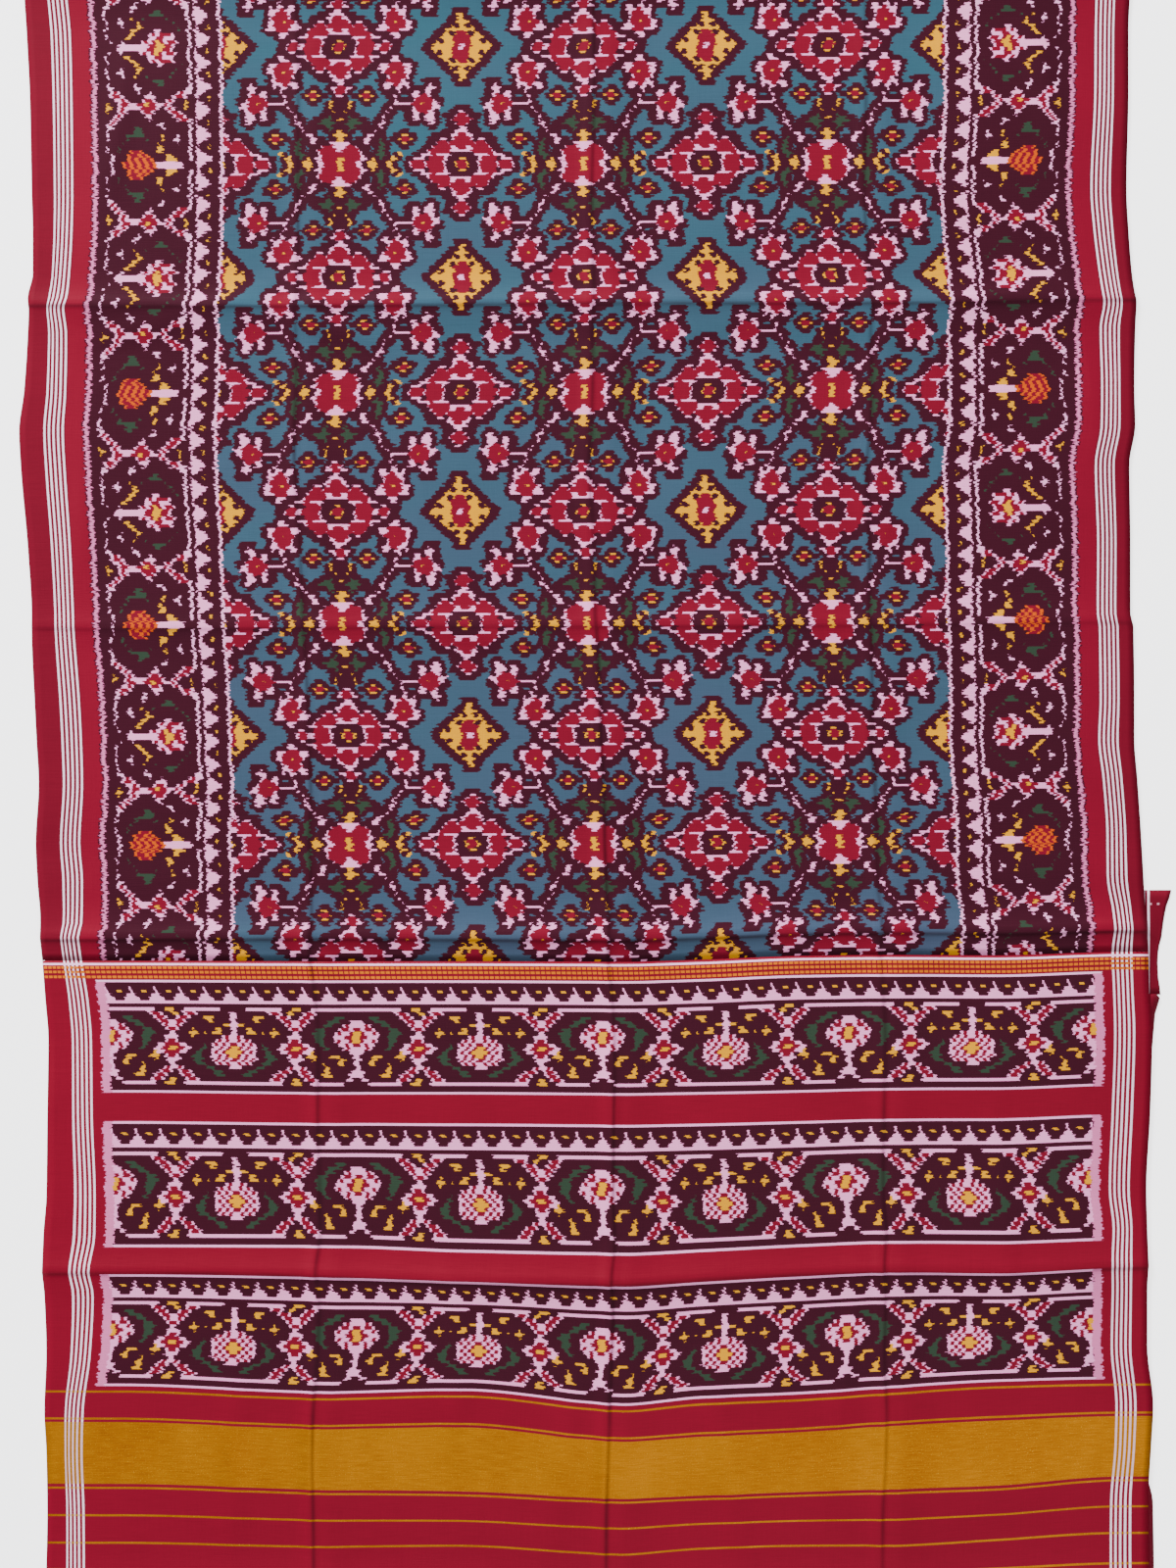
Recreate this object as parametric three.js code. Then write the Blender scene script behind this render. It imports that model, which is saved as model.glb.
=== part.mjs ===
// Patola saree laid flat and folded once over: millimetres, +Z up, +Y towards the top fold.
import * as THREE from "three";

// Driving sizes
const WALL = 1.0;
const SEAM = 0.3;
const RIM = 0.3;
const CLOTH_WIDTH = 1130;
const TOP_FOLD_Y = 1164;
const NOSE_RADIUS = 3.2;
const LIP = 24;
const BODY_END = 1458;
const UNDER_END = 2264;
const PALLU_END = 2328;
const PICTURE_CENTRE = 607.5;
const TWO_LAYERS = 1.2;
const THREE_LAYERS = 2.4;
const THIRD_LAYER_FROM = 1385;
const LOFT = 0.8;
const TAB_INSIDE = 1103;
const TAB_TOP = 1394;
const TAB_FOOT = 1499;
const CREASE_SHOULDER = 12;
const CLOSEST_ROWS = 6;
const DROOP = 30;
const HIDDEN_TUCK = 2.2;
const GROOVE = 2.4;

// Rows wanted where the cloth runs plain for long
const PLAIN_ROWS = [60, 220, 380, 1648, 1890, 2138, 2230];

// Rows round the top fold and where the pallu droops to the surface
const FOLD_ROWS = [24, 44];
const DROOP_ROWS = [2264, 2270, 2276, 2282, 2288, 2294, 2310];

// Columns of the cloth: distance across from the left selvedge
const ACROSS = [
  0, 8, 20, 36, 64, 120, 190, 255, 280, 295, 310, 335, 420, 505, 556, 580, 596, 612, 636, 720,
  800, 835, 860, 875, 890, 915, 1000, 1070, 1103, 1122, 1130,
];
const STRIPE_LEFT = 36;
const STRIPE_RIGHT = 1103;

// One row per section: distance down from the top fold, both edges, both stripe groups
const SECTIONS = [
  { down: 0, left: 28, right: 1152, stripeL: 63, stripeR: 1126 },
  { down: 148, left: 24, right: 1156, stripeL: 58, stripeR: 1131 },
  { down: 298, left: 30, right: 1150, stripeL: 64, stripeR: 1124 },
  { down: 458, left: 25, right: 1153, stripeL: 58, stripeR: 1128 },
  { down: 518, left: 28, right: 1151, stripeL: 62.5, stripeR: 1127 },
  { down: 578, left: 31, right: 1151, stripeL: 64, stripeR: 1126.5 },
  { down: 678, left: 33, right: 1149, stripeL: 65, stripeR: 1122.5 },
  { down: 718, left: 34, right: 1151, stripeL: 64, stripeR: 1125.5 },
  { down: 758, left: 34, right: 1154, stripeL: 61.5, stripeR: 1130.5 },
  { down: 782, left: 29, right: 1157, stripeL: 59, stripeR: 1134 },
  { down: 794, left: 30, right: 1159, stripeL: 56, stripeR: 1135.5 },
  { down: 818, left: 29, right: 1158, stripeL: 58.5, stripeR: 1132 },
  { down: 878, left: 25, right: 1157, stripeL: 57.5, stripeR: 1133.5 },
  { down: 918, left: 20, right: 1158, stripeL: 55, stripeR: 1133 },
  { down: 958, left: 22, right: 1152, stripeL: 57, stripeR: 1127 },
  { down: 1038, left: 29, right: 1153, stripeL: 62.5, stripeR: 1129.5 },
  { down: 1112, left: 33, right: 1153, stripeL: 66, stripeR: 1129 },
  { down: 1124, left: 33, right: 1156, stripeL: 66.5, stripeR: 1131 },
  { down: 1198, left: 36, right: 1157, stripeL: 72, stripeR: 1132 },
  { down: 1238, left: 38, right: 1157, stripeL: 74, stripeR: 1130.5 },
  { down: 1278, left: 40, right: 1160, stripeL: 75, stripeR: 1135 },
  { down: 1338, left: 37, right: 1164, stripeL: 72, stripeR: 1139 },
  { down: 1378, left: 39, right: 1166, stripeL: 75, stripeR: 1139 },
  { down: 1418, left: 42, right: 1168, stripeL: 74.5, stripeR: 1145 },
  { down: 1434, left: 42, right: 1169, stripeL: 71.5, stripeR: 1146 },
  { down: 1458, left: 44, right: 1171, stripeL: 74, stripeR: 1144 },
  { down: 1498, left: 47, right: 1172, stripeL: 80.5, stripeR: 1145.5 },
  { down: 1538, left: 50, right: 1175, stripeL: 84, stripeR: 1146.5 },
  { down: 1618, left: 49, right: 1173, stripeL: 85, stripeR: 1144 },
  { down: 1698, left: 48, right: 1169, stripeL: 88, stripeR: 1141 },
  { down: 1738, left: 45, right: 1170, stripeL: 87.5, stripeR: 1145 },
  { down: 1775, left: 44, right: 1171, stripeL: 82, stripeR: 1143.5 },
  { down: 1798, left: 46, right: 1170, stripeL: 86, stripeR: 1144 },
  { down: 1858, left: 48, right: 1170, stripeL: 83, stripeR: 1143 },
  { down: 1918, left: 46, right: 1176, stripeL: 75.5, stripeR: 1148 },
  { down: 1958, left: 48, right: 1174, stripeL: 74.5, stripeR: 1147 },
  { down: 2018, left: 49, right: 1171, stripeL: 76.5, stripeR: 1142.5 },
  { down: 2078, left: 48, right: 1171.5, stripeL: 77, stripeR: 1142 },
  { down: 2178, left: 46, right: 1173, stripeL: 78, stripeR: 1144 },
  { down: 2328, left: 48, right: 1172, stripeL: 80, stripeR: 1143 },
];

// How far each weft line sags below a level line, by its distance across
const SAG_ACROSS = [80, 293, 425, 595, 675, 775, 875, 975, 1100];
const SAG = [
  { down: 30, by: [0, 0, 0, 0, 0, 0, 0, 0, 0] },
  { down: 400, by: [0, -1, -1.5, -2, -3, -3.5, -4, -5, -6] },
  { down: 1300, by: [0, -1, -1.5, -2, -3, -3.5, -4, -5, -6] },
  { down: 1461.5, by: [0, 0.5, 0.5, 1, -1, -5, -6, -5.5, -9] },
  { down: 1595, by: [0, 2, 2, 3, 2, 0, -2.5, -3, -7] },
  { down: 1748.5, by: [0, 0.5, 5, 8, 4.5, -0.5, -4, -3.5, -7] },
  { down: 1778, by: [0, 3, 7, 12, 7.5, 2, -2, -1, -6] },
  { down: 1897, by: [0, 7.5, 4.5, 19.5, 12.5, 8.5, 1.5, -4.5, -7] },
  { down: 1924.5, by: [0, 7, 5, 19.5, 14.5, 10, 3, -2, -6] },
  { down: 1995, by: [0, 6, 7.5, 14.5, 11.5, 8, 5, 1.5, -7.5] },
  { down: 2051, by: [0, 4, 3, 11.5, 6, 3, 2.5, -3, -10] },
  { down: 2078, by: [0, 3, 2, 10, 5, 2, 2, -1, -6] },
  { down: 2328, by: [0, 0, 0, 0, 0, 0, 0, 0, 0] },
];

// Storage creases across the cloth: height at the left, middle and right, run of both flanks
const CREASES_ACROSS = [
  { down: 468, left: 2.4, middle: 3.4, right: 2.4, above: 36, below: 40 },
  { down: 794, left: 3.4, middle: 4.2, right: 3.6, above: 34, below: 44 },
  { down: 1118, left: 1.6, middle: 2.4, right: 1.6, above: 32, below: 38 },
  { down: 1434, left: 3.4, middle: 4.4, right: 3.8, above: 34, below: 40 },
  { down: 1775, left: 2.8, middle: 3.8, right: 2.8, above: 36, below: 40 },
  { down: 2098, left: 2.2, middle: 3.0, right: 2.2, above: 36, below: 36 },
];

// Creases down the cloth
const CREASES_DOWN = [
  { across: 295, height: 2.0, before: 36, after: 36 },
  { across: 596, height: 2.8, before: 40, after: 40 },
  { across: 875, height: 2.0, before: 36, after: 36 },
];

// Broad soft swells: centre, half spans and height
const SWELLS = [
  { across: 150, down: 640, wide: 110, long: 120, height: 1.6 },
  { across: 980, down: 620, wide: 120, long: 130, height: 1.4 },
  { across: 440, down: 960, wide: 130, long: 140, height: 1.2 },
  { across: 740, down: 1260, wide: 130, long: 120, height: 1.3 },
  { across: 130, down: 1250, wide: 100, long: 130, height: 1.5 },
  { across: 990, down: 1590, wide: 110, long: 120, height: 1.5 },
  { across: 400, down: 1850, wide: 110, long: 100, height: 1.6 },
  { across: 700, down: 1900, wide: 90, long: 110, height: 1.8 },
  { across: 960, down: 1980, wide: 100, long: 110, height: 1.3 },
  { across: 480, down: 250, wide: 160, long: 110, height: 1.4 },
];

// How far the hidden layers stand out past the right edge of the top layer
const POKES = [
  { down: 1499, past: -HIDDEN_TUCK },
  { down: 1502, past: 11 },
  { down: 1522, past: 4 },
  { down: 1547, past: 1 },
  { down: 1618, past: -HIDDEN_TUCK },
  { down: 1985, past: -HIDDEN_TUCK },
  { down: 2018, past: 5 },
  { down: 2078, past: 5.5 },
  { down: 2178, past: -HIDDEN_TUCK },
];

// Right edge of the tucked inner end where it shows
const TAB_EDGE = [
  { down: 1394, right: 1195 },
  { down: 1411, right: 1190 },
  { down: 1427, right: 1187 },
  { down: 1443, right: 1185 },
  { down: 1455, right: 1182 },
  { down: 1468, right: 1181 },
  { down: 1488, right: 1182 },
  { down: 1499, right: 1184 },
];

// Smooth curve through rising stations, without overshoot
function curve(stations, values) {
  const last = stations.length - 1;
  const slopes = stations.map((_, i) => (
    i < last ? (values[i + 1] - values[i]) / (stations[i + 1] - stations[i]) : 0
  ));
  const tangents = stations.map((_, i) => {
    if (i === 0 || i === last) return 0;
    const a = slopes[i - 1];
    const b = slopes[i];
    return a * b <= 0 ? 0 : (2 * a * b) / (a + b);
  });
  return (at) => {
    if (at <= stations[0]) return values[0];
    if (at >= stations[last]) return values[last];
    let i = 0;
    while (at > stations[i + 1]) i += 1;
    const step = stations[i + 1] - stations[i];
    const t = (at - stations[i]) / step;
    const t2 = t * t;
    const t3 = t2 * t;
    return (2 * t3 - 3 * t2 + 1) * values[i] + (t3 - 2 * t2 + t) * step * tangents[i]
      + (3 * t2 - 2 * t3) * values[i + 1] + (t3 - t2) * step * tangents[i + 1];
  };
}

function column(rows, name) {
  return curve(rows.map((row) => row.down), rows.map((row) => row[name]));
}

const leftAt = column(SECTIONS, "left");
const rightAt = column(SECTIONS, "right");
const stripeLeftAt = column(SECTIONS, "stripeL");
const stripeRightAt = column(SECTIONS, "stripeR");
const pokeAt = column(POKES, "past");
const tabEdgeAt = column(TAB_EDGE, "right");
const sagRows = SAG.map((row) => curve(SAG_ACROSS, row.by));
const sagStations = SAG.map((row) => row.down);

function smooth(from, to, at) {
  const t = Math.min(1, Math.max(0, (at - from) / (to - from)));
  return t * t * (3 - 2 * t);
}

// Place of a point of the top layer seen from above
function sideways(across, down) {
  const edgeL = leftAt(down);
  const edgeR = rightAt(down);
  const lineL = stripeLeftAt(down);
  const lineR = stripeRightAt(down);
  let px = lineL + ((lineR - lineL) * (across - STRIPE_LEFT)) / (STRIPE_RIGHT - STRIPE_LEFT);
  if (across < STRIPE_LEFT) px = edgeL + ((lineL - edgeL) * across) / STRIPE_LEFT;
  if (across > STRIPE_RIGHT) {
    px = lineR + ((edgeR - lineR) * (across - STRIPE_RIGHT)) / (CLOTH_WIDTH - STRIPE_RIGHT);
  }
  return px - PICTURE_CENTRE;
}

function sagAt(across, down) {
  const values = sagRows.map((row) => row(across));
  return curve(sagStations, values)(down);
}

function lengthways(across, down) {
  return TOP_FOLD_Y - down - sagAt(across, down);
}

// Crease flank: full at the line, easing to nothing where the flank ends
function tent(distance, before, after) {
  const run = distance < 0 ? -distance / before : distance / after;
  return run >= 1 ? 0 : (1 - run) ** 1.6;
}

function relief(across, down) {
  const side = Math.min(across, CLOTH_WIDTH - across);
  const hold = 0.45 + 0.55 * smooth(0, 70, side);
  let height = 0;
  for (const row of CREASES_ACROSS) {
    const along = curve([0, CLOTH_WIDTH / 2, CLOTH_WIDTH], [row.left, row.middle, row.right])(across);
    height += along * tent(down - row.down, row.above, row.below);
  }
  for (const row of CREASES_DOWN) {
    height += row.height * tent(across - row.across, row.before, row.after);
  }
  for (const row of SWELLS) {
    const far = ((across - row.across) / row.wide) ** 2 + ((down - row.down) / row.long) ** 2;
    height += row.height * Math.exp(-far);
  }
  return height * hold;
}

// Height of the underside of the top layer
function underside(across, down) {
  const side = Math.min(across, CLOTH_WIDTH - across);
  const layers = TWO_LAYERS + (THREE_LAYERS - TWO_LAYERS) * smooth(1340, THIRD_LAYER_FROM, down);
  const nose = 2 * NOSE_RADIUS - WALL;
  const resting = SEAM + layers + LOFT * smooth(0, 60, side) + relief(across, down);
  const puffed = resting + (nose - resting) * (1 - smooth(NOSE_RADIUS, 90, down));
  const lying = 0.35 * relief(across, down) * (1 - smooth(2290, 2310, down));
  return puffed + (lying - puffed) * smooth(UNDER_END + 2, UNDER_END + DROOP, down);
}

// Stations down the cloth: every section, both flanks of every crease, and the seam rows
function stations(from, to, extra = []) {
  const all = new Set([from, to, ...extra]);
  for (const row of SECTIONS) all.add(row.down);
  for (const row of CREASES_ACROSS) {
    for (const step of [-row.above, -CREASE_SHOULDER, 0, CREASE_SHOULDER, row.below]) {
      all.add(row.down + step);
    }
  }
  for (const down of PLAIN_ROWS) all.add(down);
  const sorted = [...all].filter((down) => down >= from && down <= to).sort((a, b) => a - b);
  return sorted.filter((down, i) => (
    down === from || down === to || extra.includes(down)
      || (down - from > CLOSEST_ROWS && to - down > CLOSEST_ROWS && down - sorted[i - 1] > CLOSEST_ROWS)
  ));
}

// Closed body from rings of equal length; the ends are closed by the given caps
function closedBody(rings, caps) {
  const size = rings[0].length;
  const places = rings.flat(2);
  const index = [];
  for (let i = 0; i + 1 < rings.length; i += 1) {
    for (let j = 0; j < size; j += 1) {
      const k = (j + 1) % size;
      const a = i * size + j;
      const b = i * size + k;
      index.push(a, a + size, b);
      index.push(b, a + size, b + size);
    }
  }
  const lastRing = (rings.length - 1) * size;
  for (const [a, b, c] of caps) {
    index.push(a, b, c);
    index.push(lastRing + a, lastRing + c, lastRing + b);
  }
  let volume = 0;
  const point = (n) => new THREE.Vector3(places[3 * n], places[3 * n + 1], places[3 * n + 2]);
  for (let t = 0; t < index.length; t += 3) {
    volume += point(index[t]).dot(point(index[t + 1]).cross(point(index[t + 2])));
  }
  if (volume < 0) {
    for (let t = 0; t < index.length; t += 3) {
      [index[t + 1], index[t + 2]] = [index[t + 2], index[t + 1]];
    }
  }
  const geometry = new THREE.BufferGeometry();
  geometry.setAttribute("position", new THREE.Float32BufferAttribute(places, 3));
  geometry.setIndex(index);
  geometry.computeVertexNormals();
  return geometry;
}

// Ring of a wall: upper face, right rim, lower face back, left rim
function wallRing(upper, lower) {
  const last = upper.length - 1;
  const rim = (n) => [
    (upper[n][0] + lower[n][0]) / 2,
    (upper[n][1] + lower[n][1]) / 2,
    (upper[n][2] + lower[n][2]) / 2,
  ];
  const drawnIn = (points) => points.map(([x, y, z], n) => {
    if (n === 0) return [x + RIM, y, z];
    if (n === last) return [x - RIM, y, z];
    return [x, y, z];
  });
  return [...drawnIn(upper), rim(last), ...drawnIn(lower).reverse(), rim(0)];
}

function wallCaps(count) {
  const caps = [];
  const lower = (n) => 2 * count - n;
  for (let n = 0; n + 1 < count; n += 1) {
    caps.push([n, n + 1, lower(n + 1)]);
    caps.push([n, lower(n + 1), lower(n)]);
  }
  caps.push([count - 1, count, count + 1]);
  caps.push([0, 2 * count, 2 * count + 1]);
  return caps;
}

function topRow(down) {
  const lower = ACROSS.map((across) => [
    sideways(across, down), lengthways(across, down), underside(across, down),
  ]);
  const upper = lower.map(([x, y, z]) => [x, y, z + WALL]);
  return wallRing(upper, lower);
}

// Rows of the rounded top fold, from under the cloth round to its top
function noseRows() {
  const centreY = TOP_FOLD_Y - NOSE_RADIUS;
  const arc = (radius, angle) => ACROSS.map((across) => [
    sideways(across, 0),
    centreY + radius * Math.cos(angle),
    NOSE_RADIUS + radius * Math.sin(angle),
  ]);
  const lip = (z) => ACROSS.map((across) => [sideways(across, 0), centreY - LIP, z]);
  const rows = [wallRing(lip(0), lip(WALL))];
  for (const degrees of [-90, -60, -30, 0, 30, 60, 90]) {
    const angle = (degrees * Math.PI) / 180;
    rows.push(wallRing(arc(NOSE_RADIUS, angle), arc(NOSE_RADIUS - WALL, angle)));
  }
  return rows;
}

function bodyStretch() {
  const rows = noseRows();
  const downs = stations(NOSE_RADIUS + 4, BODY_END - SEAM / 2, FOLD_ROWS);
  return closedBody([...rows, ...downs.map(topRow)], wallCaps(ACROSS.length));
}

function palluStretch() {
  const rows = stations(BODY_END + SEAM / 2, PALLU_END, DROOP_ROWS).map(topRow);
  return closedBody(rows, wallCaps(ACROSS.length));
}

// The hidden layers keep clear of the top layer, and drop where the inner end is tucked over them
function hiddenTop(across, down) {
  const tucked = across >= TAB_INSIDE && down >= TAB_TOP - 1 && down <= TAB_FOOT + 1;
  return underside(across, down) - SEAM - (tucked ? WALL + SEAM : 0);
}

// Side of the hidden layers from top to foot: two rounded cloth edges with a groove between
const SIDE_ROWS = [
  { inset: 0.8, height: 0.86, groove: 0 },
  { inset: 0, height: 0.66, groove: 0 },
  { inset: 0, height: 0.5, groove: 1 },
  { inset: 0, height: 0.34, groove: 0 },
  { inset: 0.6, height: 0.12, groove: 0 },
  { inset: 1.2, height: 0, groove: 0 },
];

// Ring of the hidden layers: top, right side with its layer groove, flat foot, left side
function hiddenRing(down, y, tops, foot, past) {
  const inner = ACROSS.slice(1, -1);
  const groove = GROOVE * smooth(1392, 1420, down) * (1 - smooth(2200, 2250, down));
  const sideRows = SIDE_ROWS.map((row) => ({ ...row, inset: row.inset + row.groove * groove }));
  const top = inner.map((across, n) => [sideways(across, down), y(across), tops[n]]);
  const edge = (across, out, row, height) => [
    sideways(across, down) + out, y(across), foot + (height - foot) * row.height,
  ];
  const right = sideRows.map((row) => (
    edge(CLOTH_WIDTH, past - row.inset, row, tops[tops.length - 1])
  ));
  const left = sideRows.map((row) => edge(0, HIDDEN_TUCK + row.inset, row, tops[0])).reverse();
  return [...top, ...right, ...left];
}

function foldedLayers() {
  const inner = ACROSS.slice(1, -1);
  const rings = [];
  const noseY = TOP_FOLD_Y - NOSE_RADIUS;
  const noseIn = NOSE_RADIUS - WALL - SEAM;
  for (const degrees of [14, 35, 60, 90]) {
    const angle = (degrees * Math.PI) / 180;
    const y = noseY + noseIn * Math.cos(angle);
    const z = noseIn * Math.sin(angle);
    rings.push(hiddenRing(0, () => y, inner.map(() => NOSE_RADIUS + z), NOSE_RADIUS - z, -HIDDEN_TUCK));
  }
  const lipEnd = NOSE_RADIUS + LIP + SEAM;
  const extra = [
    ...FOLD_ROWS, lipEnd, lipEnd + 0.6, TAB_TOP - 2, TAB_TOP - 1, TAB_FOOT + 1, TAB_FOOT + 2,
    BODY_END - SEAM / 2, BODY_END + SEAM / 2,
  ];
  const end = UNDER_END - 2;
  for (const down of stations(NOSE_RADIUS + 4, end, extra)) {
    const foot = down < lipEnd + 0.3 ? WALL + SEAM : 0;
    const tops = inner.map((across) => hiddenTop(across, down));
    rings.push(hiddenRing(down, (across) => lengthways(across, down), tops, foot, pokeAt(down)));
  }
  const fullTops = inner.map((across) => hiddenTop(across, end));
  for (const degrees of [60, 35, 14]) {
    const angle = (degrees * Math.PI) / 180;
    const reach = 2 * Math.cos(angle);
    const lift = Math.sin(angle);
    const tops = fullTops.map((z) => (z / 2) * (1 + lift));
    const y = (across) => lengthways(across, end) - reach;
    const foot = 0.5 * (1 - lift);
    rings.push(hiddenRing(end, y, tops, foot, pokeAt(end)));
  }
  const size = rings[0].length;
  const leftFoot = size - SIDE_ROWS.length;
  const caps = [];
  for (let n = 1; n + 1 < size; n += 1) {
    caps.push([leftFoot, (leftFoot + n) % size, (leftFoot + n + 1) % size]);
  }
  return closedBody(rings, caps);
}

// Tucked inner end: under the top layer on the left, out past its edge on the right
function innerEnd() {
  const tucked = ACROSS.filter((across) => across >= TAB_INSIDE);
  const rows = stations(TAB_TOP, TAB_FOOT, [BODY_END - SEAM / 2, BODY_END + SEAM / 2]).map((down) => {
    const lower = tucked.map((across) => [
      sideways(across, down),
      lengthways(across, down),
      underside(across, down) - WALL - SEAM,
    ]);
    const edge = lower[lower.length - 1];
    const free = tabEdgeAt(down) - PICTURE_CENTRE;
    for (const part of [0.3, 0.65, 1]) {
      lower.push([
        edge[0] + (free - edge[0]) * part,
        edge[1],
        edge[2] * (1 - smooth(0, 1, part)),
      ]);
    }
    return wallRing(lower.map(([x, y, z]) => [x, y, z + WALL]), lower);
  });
  return closedBody(rows, wallCaps(tucked.length + 3));
}

const group = new THREE.Group();
const pieces = [
  { name: "body_stretch", geometry: bodyStretch(), colour: 0x3c6f7c },
  { name: "pallu_stretch", geometry: palluStretch(), colour: 0x9b1437 },
  { name: "folded_layers", geometry: foldedLayers(), colour: 0x8e1630 },
  { name: "inner_end", geometry: innerEnd(), colour: 0xa0182e },
];
for (const { name, geometry, colour } of pieces) {
  const material = new THREE.MeshStandardMaterial({ color: colour, roughness: 0.55, metalness: 0 });
  const mesh = new THREE.Mesh(geometry, material);
  mesh.name = name;
  group.add(mesh);
}

export default group;
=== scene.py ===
"""Patola saree laid flat, folded over at both ends: cloth pieces, ikat materials, light and camera.

Metres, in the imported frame: +X towards the right selvedge, +Y towards the top fold, +Z up.
"""
import logging
from dataclasses import dataclass, field
from enum import Enum
from typing import Sequence

import bpy
import numpy as np
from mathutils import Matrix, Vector


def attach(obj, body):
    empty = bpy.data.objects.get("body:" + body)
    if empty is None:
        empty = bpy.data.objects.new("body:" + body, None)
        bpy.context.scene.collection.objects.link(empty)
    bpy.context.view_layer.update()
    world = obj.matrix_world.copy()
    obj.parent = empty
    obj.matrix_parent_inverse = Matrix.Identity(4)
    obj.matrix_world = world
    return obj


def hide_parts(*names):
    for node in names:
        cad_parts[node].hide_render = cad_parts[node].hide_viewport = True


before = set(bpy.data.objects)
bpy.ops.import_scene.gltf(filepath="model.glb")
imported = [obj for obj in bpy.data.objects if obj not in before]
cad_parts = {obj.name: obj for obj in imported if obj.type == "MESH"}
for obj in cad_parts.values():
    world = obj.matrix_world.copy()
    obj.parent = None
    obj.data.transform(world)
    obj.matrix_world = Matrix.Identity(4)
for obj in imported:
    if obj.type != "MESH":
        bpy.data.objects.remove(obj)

LOG = logging.getLogger("patola")
MM = 0.001

# Driving sizes of the cloth, in millimetres, as in the part's source
WALL = 1.0
SILK = 0.45
CLOTH_WIDTH = 1130.0
TOP_FOLD_Y = 1164.0
NOSE_RADIUS = 3.2
LIP = 24.0
BODY_END = 1458.0
UNDER_END = 2264.0
PALLU_END = 2328.0
PICTURE_CENTRE = 607.5
PICTURE_TOP = 478.0
TWO_LAYERS = 1.2
THREE_LAYERS = 2.4
SEAM = 0.3
LOFT = 0.8
DROOP = 30.0
STRIPE_LEFT = 36.0
STRIPE_RIGHT = 1103.0
TAB_INSIDE = 1103.0
TAB_TOP = 1394.0
TAB_FOOT = 1499.0
TAB_LAP = 2.5
MIRROR_WIDTH = STRIPE_LEFT + STRIPE_RIGHT
TAB_SHIFT = 548.5
HIDDEN_TUCK = 2.2
END_REACH = 2.0

# Down the cloth: where the third layer comes in, and where the lying end grows flat
THIRD_LAYER = (1340.0, 1385.0)
LYING_END = (2290.0, 2310.0)

# Share of the relief left on the lying end and at the side edges
LYING_RELIEF = 0.35
EDGE_RELIEF = 0.45

# Runs over which the relief, the loft and the top fold's height come in
EDGE_CALM = 70.0
LOFT_RUN = 60.0
NOSE_RUN = 90.0

# Power that hollows the flanks of a crease
FLANK_SHAPE = 1.6

# Stations and angles of the grids
GRID_STEP = 8.0
CLOSEST_STATIONS = 2.4
LINE_STEPS = (-14, -7, 0, 3, 6)
NOSE_GAP = 4
BEHIND_NOSE = (12, 18, 24, 34)
SEEN_BEHIND_NOSE = range(12, 36, 6)
DROOP_STATIONS = range(2264, 2300, 6)
NOSE_ANGLES = range(-90, 91, 15)
HIDDEN_NOSE_ANGLES = range(-60, 91, 15)
END_ANGLES = (-54, -18, 18, 54)
TAB_COLUMNS = 7

# Runs of the fine relief, the hidden edge and its tuck, and where its push begins
CALM_AT_NOSE = 60.0
CALM_AT_END = 40.0
THIN_EDGE = 9.0
TUCK_RUN = 40.0
PUSH_FROM = 1060.0

# Bake layout: the outer face wide, the inner face narrow beside it
BAKE_MARGIN = 0.005
BAKE_LONG = 0.99
BAKE_OUTER = 0.885
BAKE_INNER_FROM = 0.90
BAKE_INNER = 0.09

# Down the cloth from the top fold, both edges, both stripe groups
# Most of the numbers are a scratch script's measurements of the picture, not placed by hand
SECTION_COLUMNS = ("down", "left", "right", "stripe_left", "stripe_right")
SECTIONS = (
    (0, 28, 1152, 63, 1126),
    (148, 24, 1156, 58, 1131),
    (298, 30, 1150, 64, 1124),
    (458, 25, 1153, 58, 1128),
    (518, 28, 1151, 62.5, 1127),
    (578, 31, 1151, 64, 1126.5),
    (678, 33, 1149, 65, 1122.5),
    (718, 34, 1151, 64, 1125.5),
    (758, 34, 1154, 61.5, 1130.5),
    (782, 29, 1157, 59, 1134),
    (794, 30, 1159, 56, 1135.5),
    (818, 29, 1158, 58.5, 1132),
    (878, 25, 1157, 57.5, 1133.5),
    (918, 20, 1158, 55, 1133),
    (958, 22, 1152, 57, 1127),
    (1038, 29, 1153, 62.5, 1129.5),
    (1112, 33, 1153, 66, 1129),
    (1124, 33, 1156, 66.5, 1131),
    (1198, 36, 1157, 72, 1132),
    (1238, 38, 1157, 74, 1130.5),
    (1278, 40, 1160, 75, 1135),
    (1338, 37, 1164, 72, 1139),
    (1378, 39, 1166, 75, 1139),
    (1418, 42, 1168, 74.5, 1145),
    (1434, 42, 1169, 71.5, 1146),
    (1458, 44, 1171, 74, 1144),
    (1498, 47, 1172, 80.5, 1145.5),
    (1538, 50, 1175, 84, 1146.5),
    (1618, 49, 1173, 85, 1144),
    (1698, 48, 1169, 88, 1141),
    (1738, 45, 1170, 87.5, 1145),
    (1775, 44, 1171, 82, 1143.5),
    (1798, 46, 1170, 86, 1144),
    (1858, 48, 1170, 83, 1143),
    (1918, 46, 1176, 75.5, 1148),
    (1958, 48, 1174, 74.5, 1147),
    (2018, 49, 1171, 76.5, 1142.5),
    (2078, 48, 1171.5, 77, 1142),
    (2178, 46, 1173, 78, 1144),
    (2328, 48, 1172, 80, 1143),
)

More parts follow.
